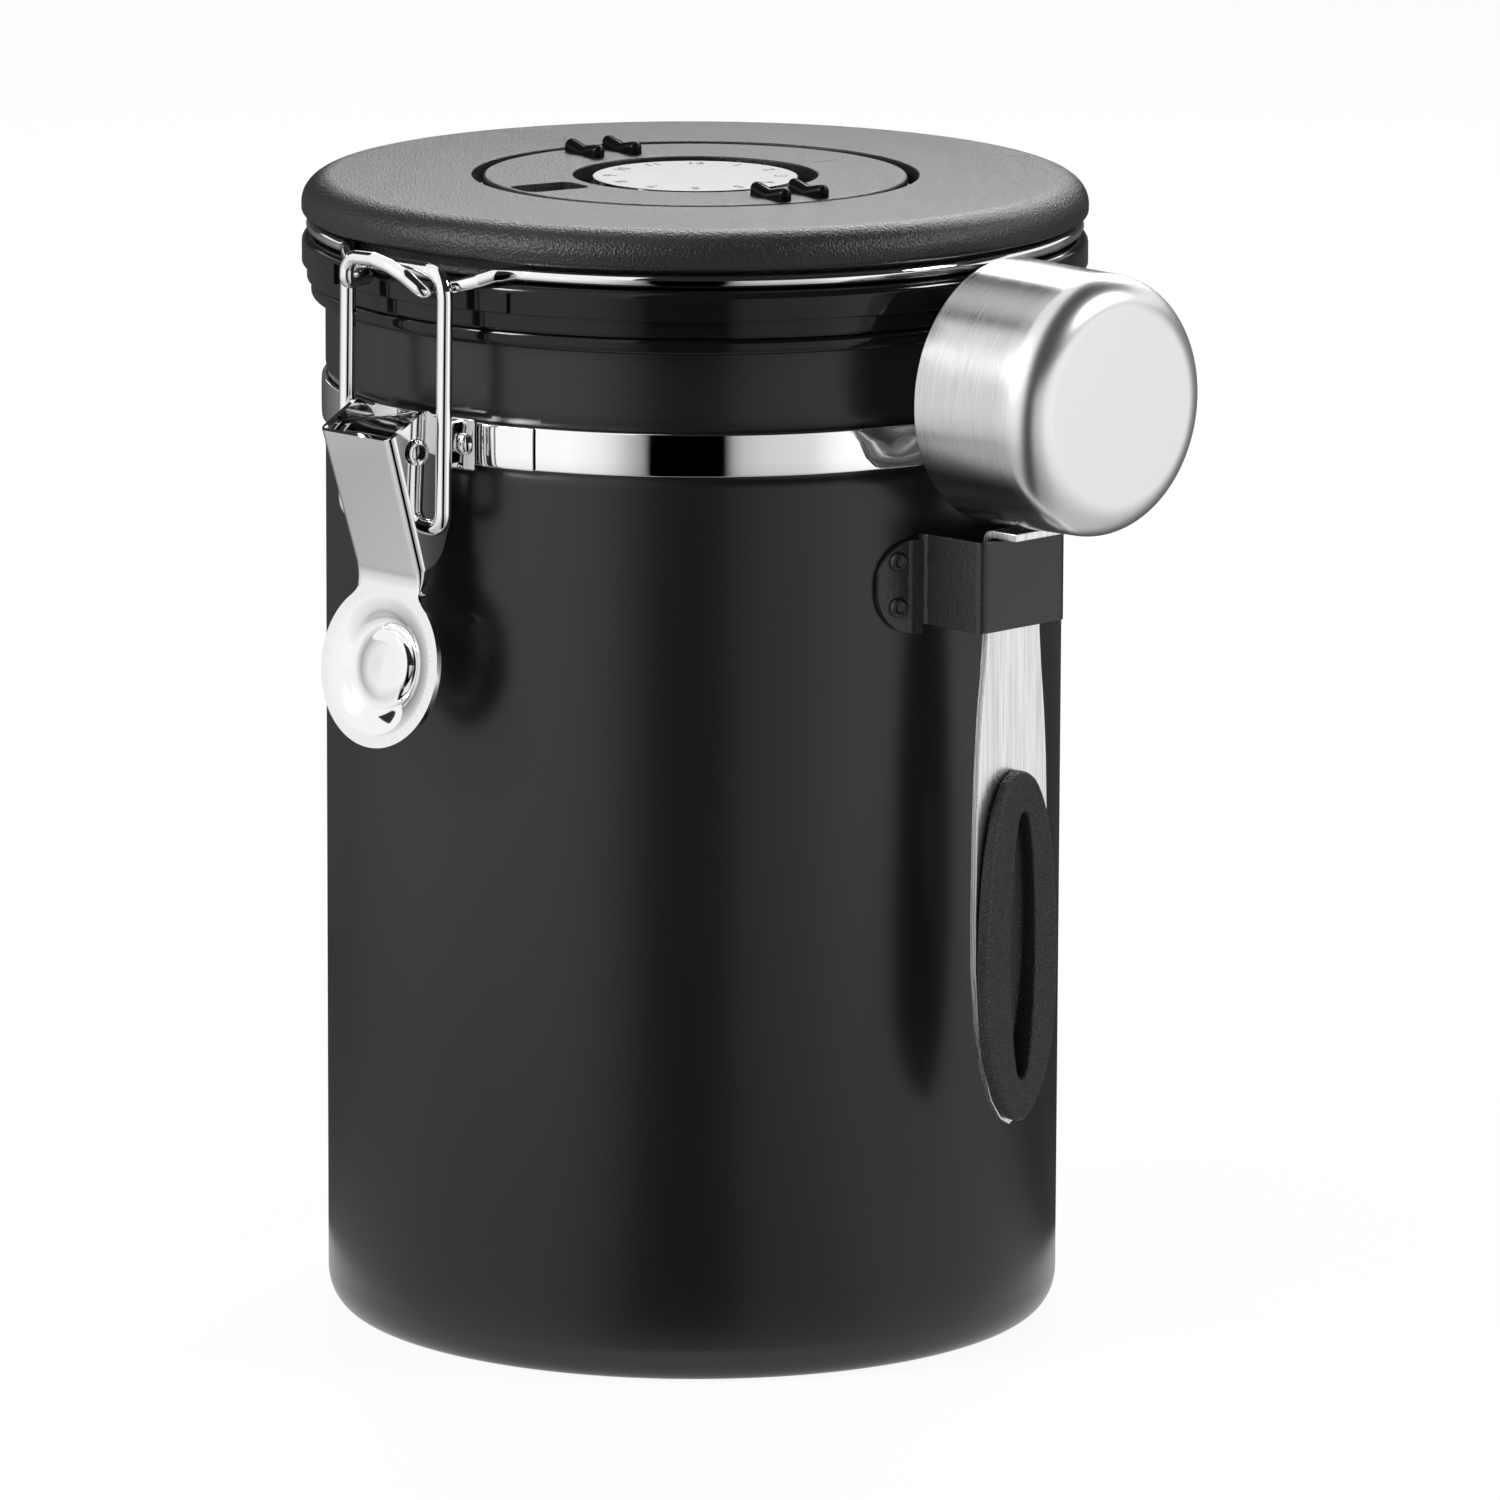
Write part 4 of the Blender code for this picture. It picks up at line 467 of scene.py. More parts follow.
def roundWire(points, radius, closed=False):
    # a round wire along a way
    curve = bpy.data.curves.new("way", "CURVE")
    curve.dimensions = "3D"
    curve.bevel_depth = radius
    curve.bevel_resolution = 10
    curve.use_fill_caps = not closed
    spline = curve.splines.new("POLY")
    spline.points.add(len(points) - 1)
    for point, at in zip(spline.points, points):
        point.co = (*at, 1)
    spline.use_cyclic_u = closed
    holder = bpy.data.objects.new("way", curve)
    bpy.context.scene.collection.objects.link(holder)
    return merge(drawn(holder))


def around(radius, azimuth, height=0):
    # a place at an azimuth, which is 0 at the clamp and 90 at the scoop
    angle = math.radians(azimuth)
    return Vector((radius * math.sin(angle), -radius * math.cos(angle), height))


def azimuthAt(across, radius):
    # the azimuth of a point on a circle that lies this far across from the clamp's middle
    return math.degrees(math.asin(across / radius))


def outward(radius, azimuth, height, across=0.0):
    # a seat whose z leaves the canister's side
    way = around(1, azimuth)
    place = Matrix.Translation(way * radius + Vector((across, 0, height)))
    return place @ way.to_track_quat("Z", "Y").to_matrix().to_4x4()


# the body, its collar and the band

body = {"radius": 62.5, "rim": 181.5, "wall": 0.8, "groove": 0.5, "grooveTop": 161.2, "grooveLow": 153.4,
        "shoulder": 1.6, "foot": 58.3, "footHeight": 6.0}


def makeBody(s):
    side = [(s["radius"], s["rim"], 0.2), (s["radius"], s["grooveTop"] + s["shoulder"], 0.7),
            (s["radius"] - s["groove"], s["grooveTop"], 0.5),
            (s["radius"] - s["groove"], s["grooveLow"], 0.5),
            (s["radius"], s["grooveLow"] - s["shoulder"], 0.7),
            *oval((s["foot"], s["footHeight"]), (s["radius"] - s["foot"], s["footHeight"]), 0, -90, 14)]
    inside = [(r - s["wall"], max(z, s["wall"]), *w) for r, z, *w in reversed(side)]
    mesh = turned([(0, 0), *reversed(side), *reversed(inside), (0, s["wall"])], closed=False)
    settle(merge(mesh), "canisterShell", coat, "canister", "canister_body", sharp=50)


makeBody(body)

collar = {"bore": 59.0, "radius": 66.45, "top": 185.0, "corner": 1.4, "stepRadius": 65.6, "step": 180.1,
          "line": 177.4, "lineHeight": 0.4, "lineDepth": 1.3, "bead": 64.9, "low": 174.2,
          "channelOuter": 62.8, "channelTop": 181.8, "channelInner": 61.4, "skirt": 175.8,
          "slotAcross": 21.2, "slotWidth": 3.0, "slotDepth": 0.7, "slotTop": 183.6, "slotLow": 178.6,
          "slotOver": 2.0}


def makeCollar(s):
    line = s["stepRadius"] - s["lineDepth"]
    profile = [(s["bore"], s["top"], 0.3), (s["radius"], s["top"], s["corner"]),
               (s["radius"], s["step"], 0.25), (s["stepRadius"], s["step"], 0.15),
               (s["stepRadius"], s["line"], 0.2), (line, s["line"]), (line, s["line"] - s["lineHeight"]),
               (s["bead"], s["line"] - s["lineHeight"], 1.3), (s["bead"], s["low"], 1.1),
               (s["channelOuter"], s["low"]), (s["channelOuter"], s["channelTop"]),
               (s["channelInner"], s["channelTop"]), (s["channelInner"], s["skirt"]),
               (s["bore"], s["skirt"], 0.3)]
    ring = turned(profile)
    half, deep, out = s["slotWidth"] / 2, s["radius"] - s["slotDepth"], s["radius"] + s["slotOver"]
    slots = []
    for side in (-1, 1):
        block = slab(rectangle(-half, half, s["slotLow"], s["slotTop"]), out - deep,
                     Matrix.Translation((0, -(out + deep) / 2, 0)) @ frontFace)
        swing(block, side * azimuthAt(s["slotAcross"], s["radius"]))
        slots.append(block)
    settle(shaped(ring, *slots), "collarRing", glossBlack, "canister", "collar_ring", sharp=40)


makeCollar(collar)

band = {"inner": 62.3, "outer": 63.2, "low": 153.7, "top": 160.9, "split": 4.4, "crown": 0.10,
        "flatHalf": 2.4, "hemStart": 12.9, "hemEnd": 22.2, "hemInner": 62.75, "hemOuter": 63.8}


def bandProfile(s, inner, outer):
    # a strip whose face is a little crowned
    edge, middle = outer - s["crown"], (s["low"] + s["top"]) / 2
    return [(inner, s["low"]), (edge, s["low"], 0.3), (outer, middle - s["flatHalf"], 1.0),
            (outer, middle + s["flatHalf"], 1.0), (edge, s["top"], 0.3), (inner, s["top"])]


def makeBand(s):
    gap = azimuthAt(s["split"], s["outer"])
    parts = [turned(bandProfile(s, s["inner"], s["outer"]), 240, 360 - 2 * gap, gap)]
    for side in (-1, 1):
        first, last = sorted(side * azimuthAt(s[k], s["hemOuter"]) for k in ("hemStart", "hemEnd"))
        parts.append(turned(bandProfile(s, s["hemInner"], s["hemOuter"]), 12, last - first, first))
    settle(merge(together(*parts)), "bandStrap", bandChrome, "canister", "band_strap", edge=0.08, sharp=40)


makeBand(band)
print("body, collar and band made")


# the clamp

bracket = {"inner": 63.5, "outer": 64.5, "low": 153.0, "top": 161.6, "half": 11.9, "earMiddle": 6.4,
           "earSheet": 1.2, "root": 63.9, "rootLow": 153.6, "rootTop": 160.4, "eye": (73.1, 156.8),
           "eyeRadius": 3.6}


def makeBracket(s):
    half = azimuthAt(s["half"], s["outer"])
    profile = [(s["inner"], s["low"]), (s["outer"], s["low"], 0.25), (s["outer"], s["top"], 0.25),
               (s["inner"], s["top"])]
    parts = [turned(profile, 24, 2 * half, -half)]
    eye = oval(s["eye"], (s["eyeRadius"],) * 2, -95, 95, 24)
    for side in (-1, 1):
        seat = Matrix.Translation((side * s["earMiddle"], 0, 0)) @ upright
        parts.append(slab([(s["root"], s["rootLow"]), *eye, (s["root"], s["rootTop"])], s["earSheet"], seat))
    settle(merge(together(*parts)), "latchBracket", chrome, "canister", "latch_bracket", edge=0.2)


makeBracket(bracket)

pivot = {"at": (73.1, 156.8), "radius": 1.7, "bore": 1.35, "flange": 2.15, "inner": 8.85, "outer": 9.25}


def makePivotPin(s):
    profile = [(s["bore"], s["outer"], 0.12), (s["flange"], s["outer"], 0.18), (s["flange"], s["inner"]),
               (s["radius"], s["inner"]), (s["radius"], -s["inner"]), (s["flange"], -s["inner"]),
               (s["flange"], -s["outer"], 0.18), (s["bore"], -s["outer"], 0.12)]
    mesh = turned(profile, 48)
    seated(mesh, Matrix.Translation((0, -s["at"][0], s["at"][1])) @ Matrix.Rotation(math.radians(90), 4, "Y"))
    pin = settle(merge(mesh), "pivotPin", chrome, "lever", "lever_pivot_pin")
    # painted shade: the faces inside the bore take the dark coat instead of chrome, so the hollow reads dark
    pin.data.materials.append(strapBlack)  # inside the bore
    for face in pin.data.polygons:
        out = math.hypot(face.center.y + s["at"][0] * mm, face.center.z - s["at"][1] * mm)
        face.material_index = int(out < (s["bore"] + 0.05) * mm)


makePivotPin(pivot)

rivet = {"radius": 1.85, "height": 1.1, "stem": 1.1, "stemLow": -2.0, "z": 157.3, "latchAcross": 9.9,
         "latchSeat": 64.7, "hingeAcross": 4.2, "hingeSeat": 64.5}


def makeRivet(s, place, end, azimuth, across=0.0):
    dome = oval((0, 0), (s["radius"], s["height"]), 90, 4, 9)
    profile = [*dome, (s["radius"], 0), (s["stem"], 0), (s["stem"], s["stemLow"]), (0, s["stemLow"])]
    mesh = turned(profile, 48, closed=False)
    seated(mesh, outward(s[place + "Seat"], azimuth, s["z"], across))
    node = "%s_rivet_%s" % (place, end)
    settle(merge(mesh), "%sRivet%s" % (place, end.title()), chrome, "canister", node)


latchAzimuth = azimuthAt(rivet["latchAcross"], bracket["outer"])
for side, end in ((-1, "left"), (1, "right")):
    makeRivet(rivet, "latch", end, side * latchAzimuth)
for side, end in ((1, "left"), (-1, "right")):
    makeRivet(rivet, "hinge", end, 180, side * rivet["hingeAcross"])

lever = {"top": (79.3, 159.3), "neck": (72.07, 136.5), "half": 8.55, "neckHalf": 7.99, "fold": 1.5,
         "sheet": 1.0, "depth": 18.0, "corner": 0.9,
         "side": [(70.9, 163.8), (67.7, 161.2), (65.0, 144.9), (66.8, 139.2), (68.26, 137.71)],
         "pad": (73.8, 120.1), "padTilt": 10.0, "padRadius": 13.75, "neckMeet": 7.2, "neckRise": 12.5,
         "neckTurn": 11.0, "bend": (-0.52, -0.31), "bendRows": 7, "dish": 11.8, "lip": 2.0, "lipDrop": 0.3,
         "floor": -1.5, "floorRadius": 7.6, "boss": 4.3, "bossFoot": 6.3, "bossTop": -0.95, "bossCrown": 0.2,
         "groove": (6.5, 1.25, 1.1), "grooveFrom": 104.0, "grooveTo": -52.0}
filletSteps = (0.14, 0.28, 0.42, 0.56, 0.7, 0.85, 1)
neckSteps = 11


def leverChannel(s):
    # a folded sheet: its section is drawn at the neck, pulled up the web and trimmed to the side outline
    neck, top = Vector(s["neck"]), Vector(s["top"])
    run = top - neck
    up, out = run.normalized(), Vector((run.y, -run.x)).normalized()
    seat = Matrix(((1, 0, 0, 0), (0, -out.x, -up.x, -neck.x), (0, out.y, up.y, neck.y), (0, 0, 0, 1)))
    spare = s["depth"] / 2
    slope = (s["half"] - s["neckHalf"]) / run.length
    low, high = s["neckHalf"] - slope * spare, s["half"] + slope * spare
    section = [(-low, -s["depth"]), (-low, 0, s["fold"]), (low, 0, s["fold"]), (low, -s["depth"])]
    mesh = wireOutline(section, seat, closed=False, segments=8)
    way = seat.to_3x3() @ Vector((0, 0, 1))
    bmesh.ops.translate(mesh, verts=mesh.verts, vec=-way * spare)
    risen = vertsOf(bmesh.ops.extrude_edge_only(mesh, edges=mesh.edges[:])["geom"])
    bmesh.ops.translate(mesh, verts=risen, vec=way * (run.length + 2 * spare))
    bmesh.ops.scale(mesh, verts=risen, vec=(high / low, 1, 1))
    trim = [s["top"], *s["side"], s["neck"]]
    for a, b in zip(trim, trim[1:]):
        trimmed(mesh, (0, -a[0], a[1]), (0, -(b[1] - a[1]), -(b[0] - a[0])))
    bmesh.ops.recalc_face_normals(mesh, faces=mesh.faces)
    corners = [v for v in mesh.verts if len(v.link_edges) == 2 and v.co.z > s["side"][-1][1] + 1]
    bmesh.ops.bevel(mesh, geom=corners, offset=s["corner"], segments=5, profile=0.5,
                    affect="VERTICES", material=-1)
    return mesh


def leverPad(s):
    # the dished thumb pad: a spun face, then a flat rim that runs into the neck
    profile = [(0, s["bossTop"] + s["bossCrown"]), (s["boss"], s["bossTop"], 0.9),
               (s["bossFoot"], s["floor"], 0.6), (s["floorRadius"], s["floor"], 1.0),
               (s["dish"] - s["lip"], -s["lipDrop"], 1.7), (s["dish"], 0)]
    mesh = wireOutline(profile, upright, closed=False, segments=10)
    for spacing in (1.0, 0.5, 0.25):
        longSides = [e for e in mesh.edges if e.calc_length() > spacing]
        bmesh.ops.subdivide_edges(mesh, edges=longSides, cuts=2)
    spun(mesh, 192)
    radius, half, deep = s["groove"]
    for v in mesh.verts:
        # a crescent pressed into the floor of the dish, narrow where it starts
        r, angle = math.hypot(v.co.x, v.co.y), math.degrees(math.atan2(v.co.y, v.co.x))
        along = (s["grooveFrom"] - angle) / (s["grooveFrom"] - s["grooveTo"])
        if 0 < along < 1:
            wide = half * min(1, (along * 3.2) ** 0.5, ((1 - along) * 9) ** 0.5)
            off = abs(r - radius) / max(wide, 0.01)
            if off < 1:
                v.co.z -= deep * math.cos(off * math.pi / 2) ** 2 * min(1, wide / half)
    rim = [e for e in mesh.edges if e.is_boundary]
    meet = math.sqrt(s["padRadius"] ** 2 - s["neckMeet"] ** 2)
    touch = math.degrees(math.atan2(meet, s["neckMeet"])) - s["neckTurn"]
    edge = oval((0, 0), (s["padRadius"],) * 2, 180 - touch, 360 + touch, 84)
    a, c, b = Vector(edge[-1]), Vector((s["neckMeet"], meet)), Vector((s["neckMeet"], s["neckRise"]))
    fillet = [curveAt(a, c, b, t) for t in filletSteps]
    across = [(s["neckMeet"] * (1 - i / neckSteps), s["neckRise"]) for i in range(1, 2 * neckSteps)]
    points = edge + [tuple(p) for p in fillet] + across + [(-p.x, p.y) for p in reversed(fillet)]
    border = [mesh.verts.new((x, y, 0)) for x, y in points]
    rim += [mesh.edges.new((p, q)) for p, q in zip(border, border[1:] + border[:1])]
    bmesh.ops.triangle_fill(mesh, edges=rim, use_beauty=True, use_dissolve=False)
    tilt = Matrix.Rotation(-math.radians(s["padTilt"]), 4, "X")
    seated(mesh, Matrix.Translation((0, -s["pad"][0], s["pad"][1])) @ frontFace @ tilt)
    return mesh


def makeLever(s):
    # the channel's foot is joined to the pad's neck, so that the sheet is one
    mesh = together(leverChannel(s), leverPad(s))
    low, neck = Vector(s["side"][-1]), Vector(s["neck"])
    cut = Vector((neck.y - low.y, low.x - neck.x)).normalized()
    rise = s["pad"][1] + s["neckRise"] * math.cos(math.radians(s["padTilt"]))

    def openEdges(gap):
        return [e for e in mesh.edges if e.is_boundary and all(abs(gap(v.co)) < 0.02 for v in e.verts)]

    foot = openEdges(lambda at: cut.dot(Vector((-at.y, at.z)) - neck))
    neckEdge = openEdges(lambda at: at.z - rise)
    ends = [{v for e in chain for v in e.verts} for chain in (foot, neckEdge)]
    bmesh.ops.bridge_loops(mesh, edges=foot + neckEdge)
    spans = [e for e in mesh.edges if all(len(end.intersection(e.verts)) == 1 for end in ends)]
    kept = set(mesh.verts)
    bmesh.ops.subdivide_edges(mesh, edges=spans, cuts=s["bendRows"], use_grid_fill=True)
    for v in set(mesh.verts) - kept:
        # the rows between are drawn in towards the crease, so that the web bends softly into the pad
        t = min(max((neck.y - v.co.z) / (neck.y - rise), 0), 1)
        v.co += Vector((0, -s["bend"][0], s["bend"][1])) * 2 * t * (1 - t)
    bmesh.ops.recalc_face_normals(mesh, faces=mesh.faces)
    web = max(mesh.faces, key=lambda f: f.calc_area() * abs(f.normal.y))
    if web.normal.y > 0:
        bmesh.ops.reverse_faces(mesh, faces=mesh.faces)
    settle(mesh, "latchLever", polished, "lever", "latch_lever", wall=s["sheet"], edge=0.14, sharp=36)


makeLever(lever)

link = {"radius": 1.35, "leg": 11.6, "foot": (70.1, 144.0), "bar": (69.5, 186.6), "corner": 4.5,
        "footBend": 2.9, "stub": 6.4}


def makeLink(s):
    foot = [(s["stub"], -s["foot"][0], s["foot"][1]), (s["leg"], -s["foot"][0], s["foot"][1])]
    shoulder = (s["leg"], -s["bar"][0], s["bar"][1])
    feet = softPath([*foot, (s["leg"], -s["foot"][0], s["bar"][1])], s["footBend"], 12)
    other = [(-x, y, z) for x, y, z in (shoulder, foot[1])]
    top = softPath([foot[1], shoulder, *other], s["corner"], 16)
    way = [*feet[:-1], *top[1:-1], *[Vector((-p.x, p.y, p.z)) for p in reversed(feet[:-1])]]
    settle(roundWire(way, s["radius"]), "linkWire", chrome, "link", "link_wire", edge=0.25, sharp=50)


makeLink(link)
print("clamp made")


# the lid's wire: ring, nose and hinge bar

lidWire = {"radius": 1.2, "ring": 64.5, "z": 186.5, "bend": 2.2, "exit": 20.0, "hingeHalf": 10.2,
           "hingeY": 71.5, "noseHalf": 8.0, "out": 4.1, "drop": 3.2, "rise": 1.3,
           "way": [(17.6, 5.6, 0.3), (15.2, 4.0, 1.3), (11.6, 2.8, 2.4), (8.6, 1.7, 3.1)],
           "strand": [(-0.97, 1, 0), (-0.95, 1, 0.58), (-0.79, 1, 0.97), (-0.16, 0.98, 1), (0.29, 0.94, 0.84),
                      (0.68, 0.82, 0.53), (1.04, 0.53, 0.02), (1.03, 0.05, -0.10)]}


def makeLidWire(s, bar):
    def nose(across, back, drop):
        return across, back - bar[0], bar[1] - drop

    exitAz = azimuthAt(s["exit"], s["ring"])
    rearAz = azimuthAt(s["hingeHalf"], s["ring"])
    span = 180 - rearAz - exitAz
    right = [around(s["ring"], exitAz + span * i / 90, s["z"]) for i in range(91)]
    left = [Vector((-p.x, p.y, p.z)) for p in reversed(right)]
    rearY = right[-1].y
    rear = softPath([(s["hingeHalf"], rearY, s["z"]), (s["hingeHalf"], s["hingeY"], s["z"]),
                     (-s["hingeHalf"], s["hingeY"], s["z"]), (-s["hingeHalf"], rearY, s["z"])], s["bend"], 12)
    strand = [nose(s["noseHalf"] * a, -s["out"] * o, s["drop"] - (s["drop"] + s["rise"]) * u)
              for a, o, u in s["strand"]]
    outer = [nose(-a, b, d) for a, b, d in s["way"]]
    back = [nose(a, b, d) for a, b, d in reversed(s["way"])]
    front = softPath([(-right[0].x, right[0].y, s["z"]), *outer, *strand, *back, right[0]], s["bend"], 8)
    way = right[:-1] + rear + left[1:] + front[1:-1]
    settle(roundWire(way, s["radius"], closed=True), "lidWire", chrome, "lid", "lid_wire", sharp=60)


makeLidWire(lidWire, link["bar"])


# the lid

lid = {"top": 194.8, "rim": 188.3, "radius": 66.5, "flat": 61.2, "fillet": 4.6, "belly": (65.2, 189.3),
       "bellySize": (1.3, 1.0), "well": 37.7, "wellFloor": 191.2, "skirt": 63.3, "seat": 61.3, "seatZ": 189.2,
       "wall": 2.2, "wellOuter": 39.35, "bay": 12.2}


def makeLidCover(s):
    fillet = oval((s["flat"], s["top"] - s["fillet"]), (s["radius"] - s["flat"], s["fillet"]), 90, 0, 20)
    belly = oval(s["belly"], s["bellySize"], 0, -90, 8)
    under = s["top"] - s["wall"]
    profile = [(s["bay"], s["wellFloor"]), (s["well"], s["wellFloor"], 0.3), (s["well"], s["top"], 0.35),
               *fillet, *belly, (s["skirt"], s["rim"], 0.2), (s["skirt"], s["seatZ"]),
               (s["seat"], s["seatZ"]), (s["seat"], under), (s["wellOuter"], under),
               (s["wellOuter"], s["seatZ"]), (s["bay"], s["seatZ"])]
    settle(merge(turned(profile)), "lidCover", lidBlack, "lid", "lid_cover", sharp=42)


makeLidCover(lid)

lidBase = {"top": 188.9, "neck": 63.0, "neckLow": 186.3, "lip": 63.3, "lipTop": 185.8, "lipLow": 185.3,
           "plug": 58.2, "plugLow": 179.5, "plugWall": 2.6, "deck": 186.7, "grooveTop": 184.2,
           "groove": 181.4, "grooveDepth": 2.0, "boss": 15.5, "bossBore": 13.5, "bossLow": 180.9}


def makeLidBase(s):
    cut, inside = s["plug"] - s["grooveDepth"], s["plug"] - s["plugWall"]
    profile = [(0, s["top"]), (s["neck"], s["top"], 0.2), (s["neck"], s["neckLow"], 0.2),
               (s["lip"], s["lipTop"], 0.1), (s["lip"], s["lipLow"], 0.1), (s["plug"], s["lipLow"], 0.3),
               (s["plug"], s["grooveTop"], 0.2), (cut, s["grooveTop"]), (cut, s["groove"]),
               (s["plug"], s["groove"], 0.2), (s["plug"], s["plugLow"], 0.6), (inside, s["plugLow"], 0.6),
               (inside, s["deck"], 0.8), (s["boss"], s["deck"], 0.6), (s["boss"], s["bossLow"], 0.4),
               (s["bossBore"], s["bossLow"], 0.4), (s["bossBore"], s["deck"]), (0, s["deck"])]
    settle(merge(turned(profile, closed=False)), "lidBase", lidBlack, "lid", "lid_base", sharp=42)


makeLidBase(lidBase)

gasket = {"inner": 56.5, "outer": 58.7, "low": 181.7, "top": 183.9}


def makeGasket(s):
    middle = (s["low"] + s["top"]) / 2
    wide, tall = s["outer"] - s["inner"], (s["top"] - s["low"]) / 2
    lip = oval((s["outer"] - wide / 2, middle), (wide / 2, tall), 80, -80, 14)
    ring = turned([(s["inner"], s["top"]), *lip, (s["inner"], s["low"])])
    settle(merge(ring), "lidGasket", silicone, "lid", "lid_gasket", sharp=50)


makeGasket(gasket)
print("lid made")


# the date dial

dialRing = {"inner": 20.65, "outer": 35.9, "top": 194.7, "low": 192.6, "lip": 21.85, "floor": 191.5,
            "corner": 0.35, "rim": 0.6, "windowAz": -13.0, "windowLong": 12.0, "windowWide": 8.0,
            "windowCorner": 2, "windowCut": 8}


def makeDateRing(s):
    profile = [(s["inner"], s["top"], s["corner"]), (s["outer"], s["top"], s["rim"]), (s["outer"], s["low"]),
               (s["lip"], s["low"]), (s["lip"], s["floor"]), (s["inner"], s["floor"])]
    ring = turned(profile)
    middle = (s["outer"] + s["lip"]) / 2
    half, reach = s["windowWide"] / 2, s["windowLong"] / 2
    window = rectangle(-half, half, -middle - reach, -middle + reach, s["windowCorner"])
    hole = slab(window, s["windowCut"], Matrix.Translation((0, 0, s["top"])))
    swing(hole, s["windowAz"])
    settle(shaped(ring, hole), "dateRing", lidBlack, "dial", "date_ring", edge=0.12, sharp=42)


makeDateRing(dialRing)

dialDisc = {"radius": 17.8, "top": 194.4, "bevel": 0.5, "low": 191.5, "bore": 16.0, "roof": 193.1}


def makeDialDisc(s):
    profile = [(0, s["top"]), (s["radius"] - s["bevel"], s["top"], 0.15),
               (s["radius"], s["top"] - 2 * s["bevel"], 0.15), (s["radius"], s["low"]), (s["bore"], s["low"]),
               (s["bore"], s["roof"]), (0, s["roof"])]
    mesh = merge(turned(profile, 144, closed=False))
    disc = settle(mesh, "dialDisc", dialWhite, "lid", "dial_disc", sharp=30)
    # painted shade: the disc's side and bevel take the black gloss, so the gap round the dial reads as a dark
    # line
    disc.data.materials.append(glossBlack)  # on the side and the bevel
    for face in disc.data.polygons:
        face.material_index = int(face.center.z < (s["top"] - 0.05) * mm)


makeDialDisc(dialDisc)

marks = {"numberSize": 3.3, "numberRadius": 14.3, "numberRise": 0.03, "numberOne": 15, "pointerAz": 170.0,
         "pointerFrom": 24.6, "pointerTo": 29.4, "pointerWide": 0.45, "pointerRise": 0.06}


def makeNumbers(s, top):
    # plain numbers 1 to 12 round the disc, as thin print
    sheet = bmesh.new()
    for number in range(1, 13):
        words = bpy.data.curves.new("number", "FONT")
        words.body = str(number)
        words.size = s["numberSize"]
        words.align_x = "CENTER"
        words.align_y = "CENTER"
        words.extrude = s["numberRise"] / 2
        holder = bpy.data.objects.new("number", words)
        bpy.context.scene.collection.objects.link(holder)
        loose = drawn(holder)
        seated(loose, Matrix.Translation((0, s["numberRadius"], top + s["numberRise"] / 2)))
        swing(loose, s["numberOne"] - 30 * (number - 1))
        sheet = together(sheet, loose)
    settle(merge(sheet), "dialNumbers", markInk, "lid", slot="black_plastic")


makeNumbers(marks, dialDisc["top"])


def makePointer(s, top):
    half = s["pointerWide"] / 2
    bar = slab(rectangle(-half, half, -s["pointerTo"], -s["pointerFrom"]), s["pointerRise"],
               Matrix.Translation((0, 0, top)))
    swing(bar, s["pointerAz"])
    settle(merge(bar), "pointerLine", markInk, "dial", slot="black_plastic")


makePointer(marks, dialRing["top"])
for number in range(1, 5):
    refined("finger_ridge_%d" % number, "fingerRidge%d" % number, ridgeBlack, "dial", edge=1.2, sharp=40)
print("dial made")


# hinge at the rear

refined("hinge_plate", "hingePlate", chrome, "canister", edge=0.14, sharp=40)


# the scoop and its bracket

refined("scoop_bracket", "scoopBracket", strapBlack, "canister", edge=0.22, sharp=35)

bracketRivet = {"arc": 13.0, "heights": (138.1, 130.4), "radius": 1.5, "rise": 0.45, "sunk": -0.15,
                "seat": 64.0}


def makeBracketRivets(s):
    # flat heads with a dimple in the middle, which hold the bracket's feet
    r, z = s["radius"], s["rise"]
    profile = [(0, z * 0.55), (r * 0.45, z * 0.5, 0.25), (r * 0.62, z, 0.2), (r * 0.86, z, 0.25),
               (r * 1.12, s["sunk"]), (0, s["sunk"])]
    heads = []
    for side in (-1, 1):
        for height in s["heights"]:
            head = turned(profile, 40, closed=False)
            seated(head, outward(s["seat"], 90 + side * s["arc"], height))
            heads.append(head)
    settle(merge(together(*heads)), "bracketRivets", strapBlack, "canister", sharp=60, slot="coated_steel")


makeBracketRivets(bracketRivet)

cup = {"radius": 22.1, "taper": 0.4, "length": 26.1, "corner": 5.8, "wall": 0.7, "mouth": 72.7, "z": 166.5}


def makeCup(s):
    low, inner = s["radius"] - s["taper"], s["corner"] - s["wall"]
    centre = (low - s["corner"], s["length"] - s["corner"])
    profile = [(0, s["length"]), *oval(centre, (s["corner"],) * 2, 90, 0, 18), (s["radius"], 0, 0.25),
               (s["radius"] - s["wall"], 0, 0.25), *oval(centre, (inner, inner), 0, 90, 12),
               (0, s["length"] - s["wall"])]
    mesh = turned(profile, 160, closed=False)
    seated(mesh, Matrix.Translation((s["mouth"], 0, s["z"])) @ Matrix.Rotation(math.radians(90), 4, "Y"))
    settle(merge(mesh), "scoopCup", cupSteel, "scoop", "scoop_cup", sharp=50)


makeCup(cup)
refined("scoop_handle", "scoopHandle", handleSteel, "scoop", edge=0.3, sharp=35)

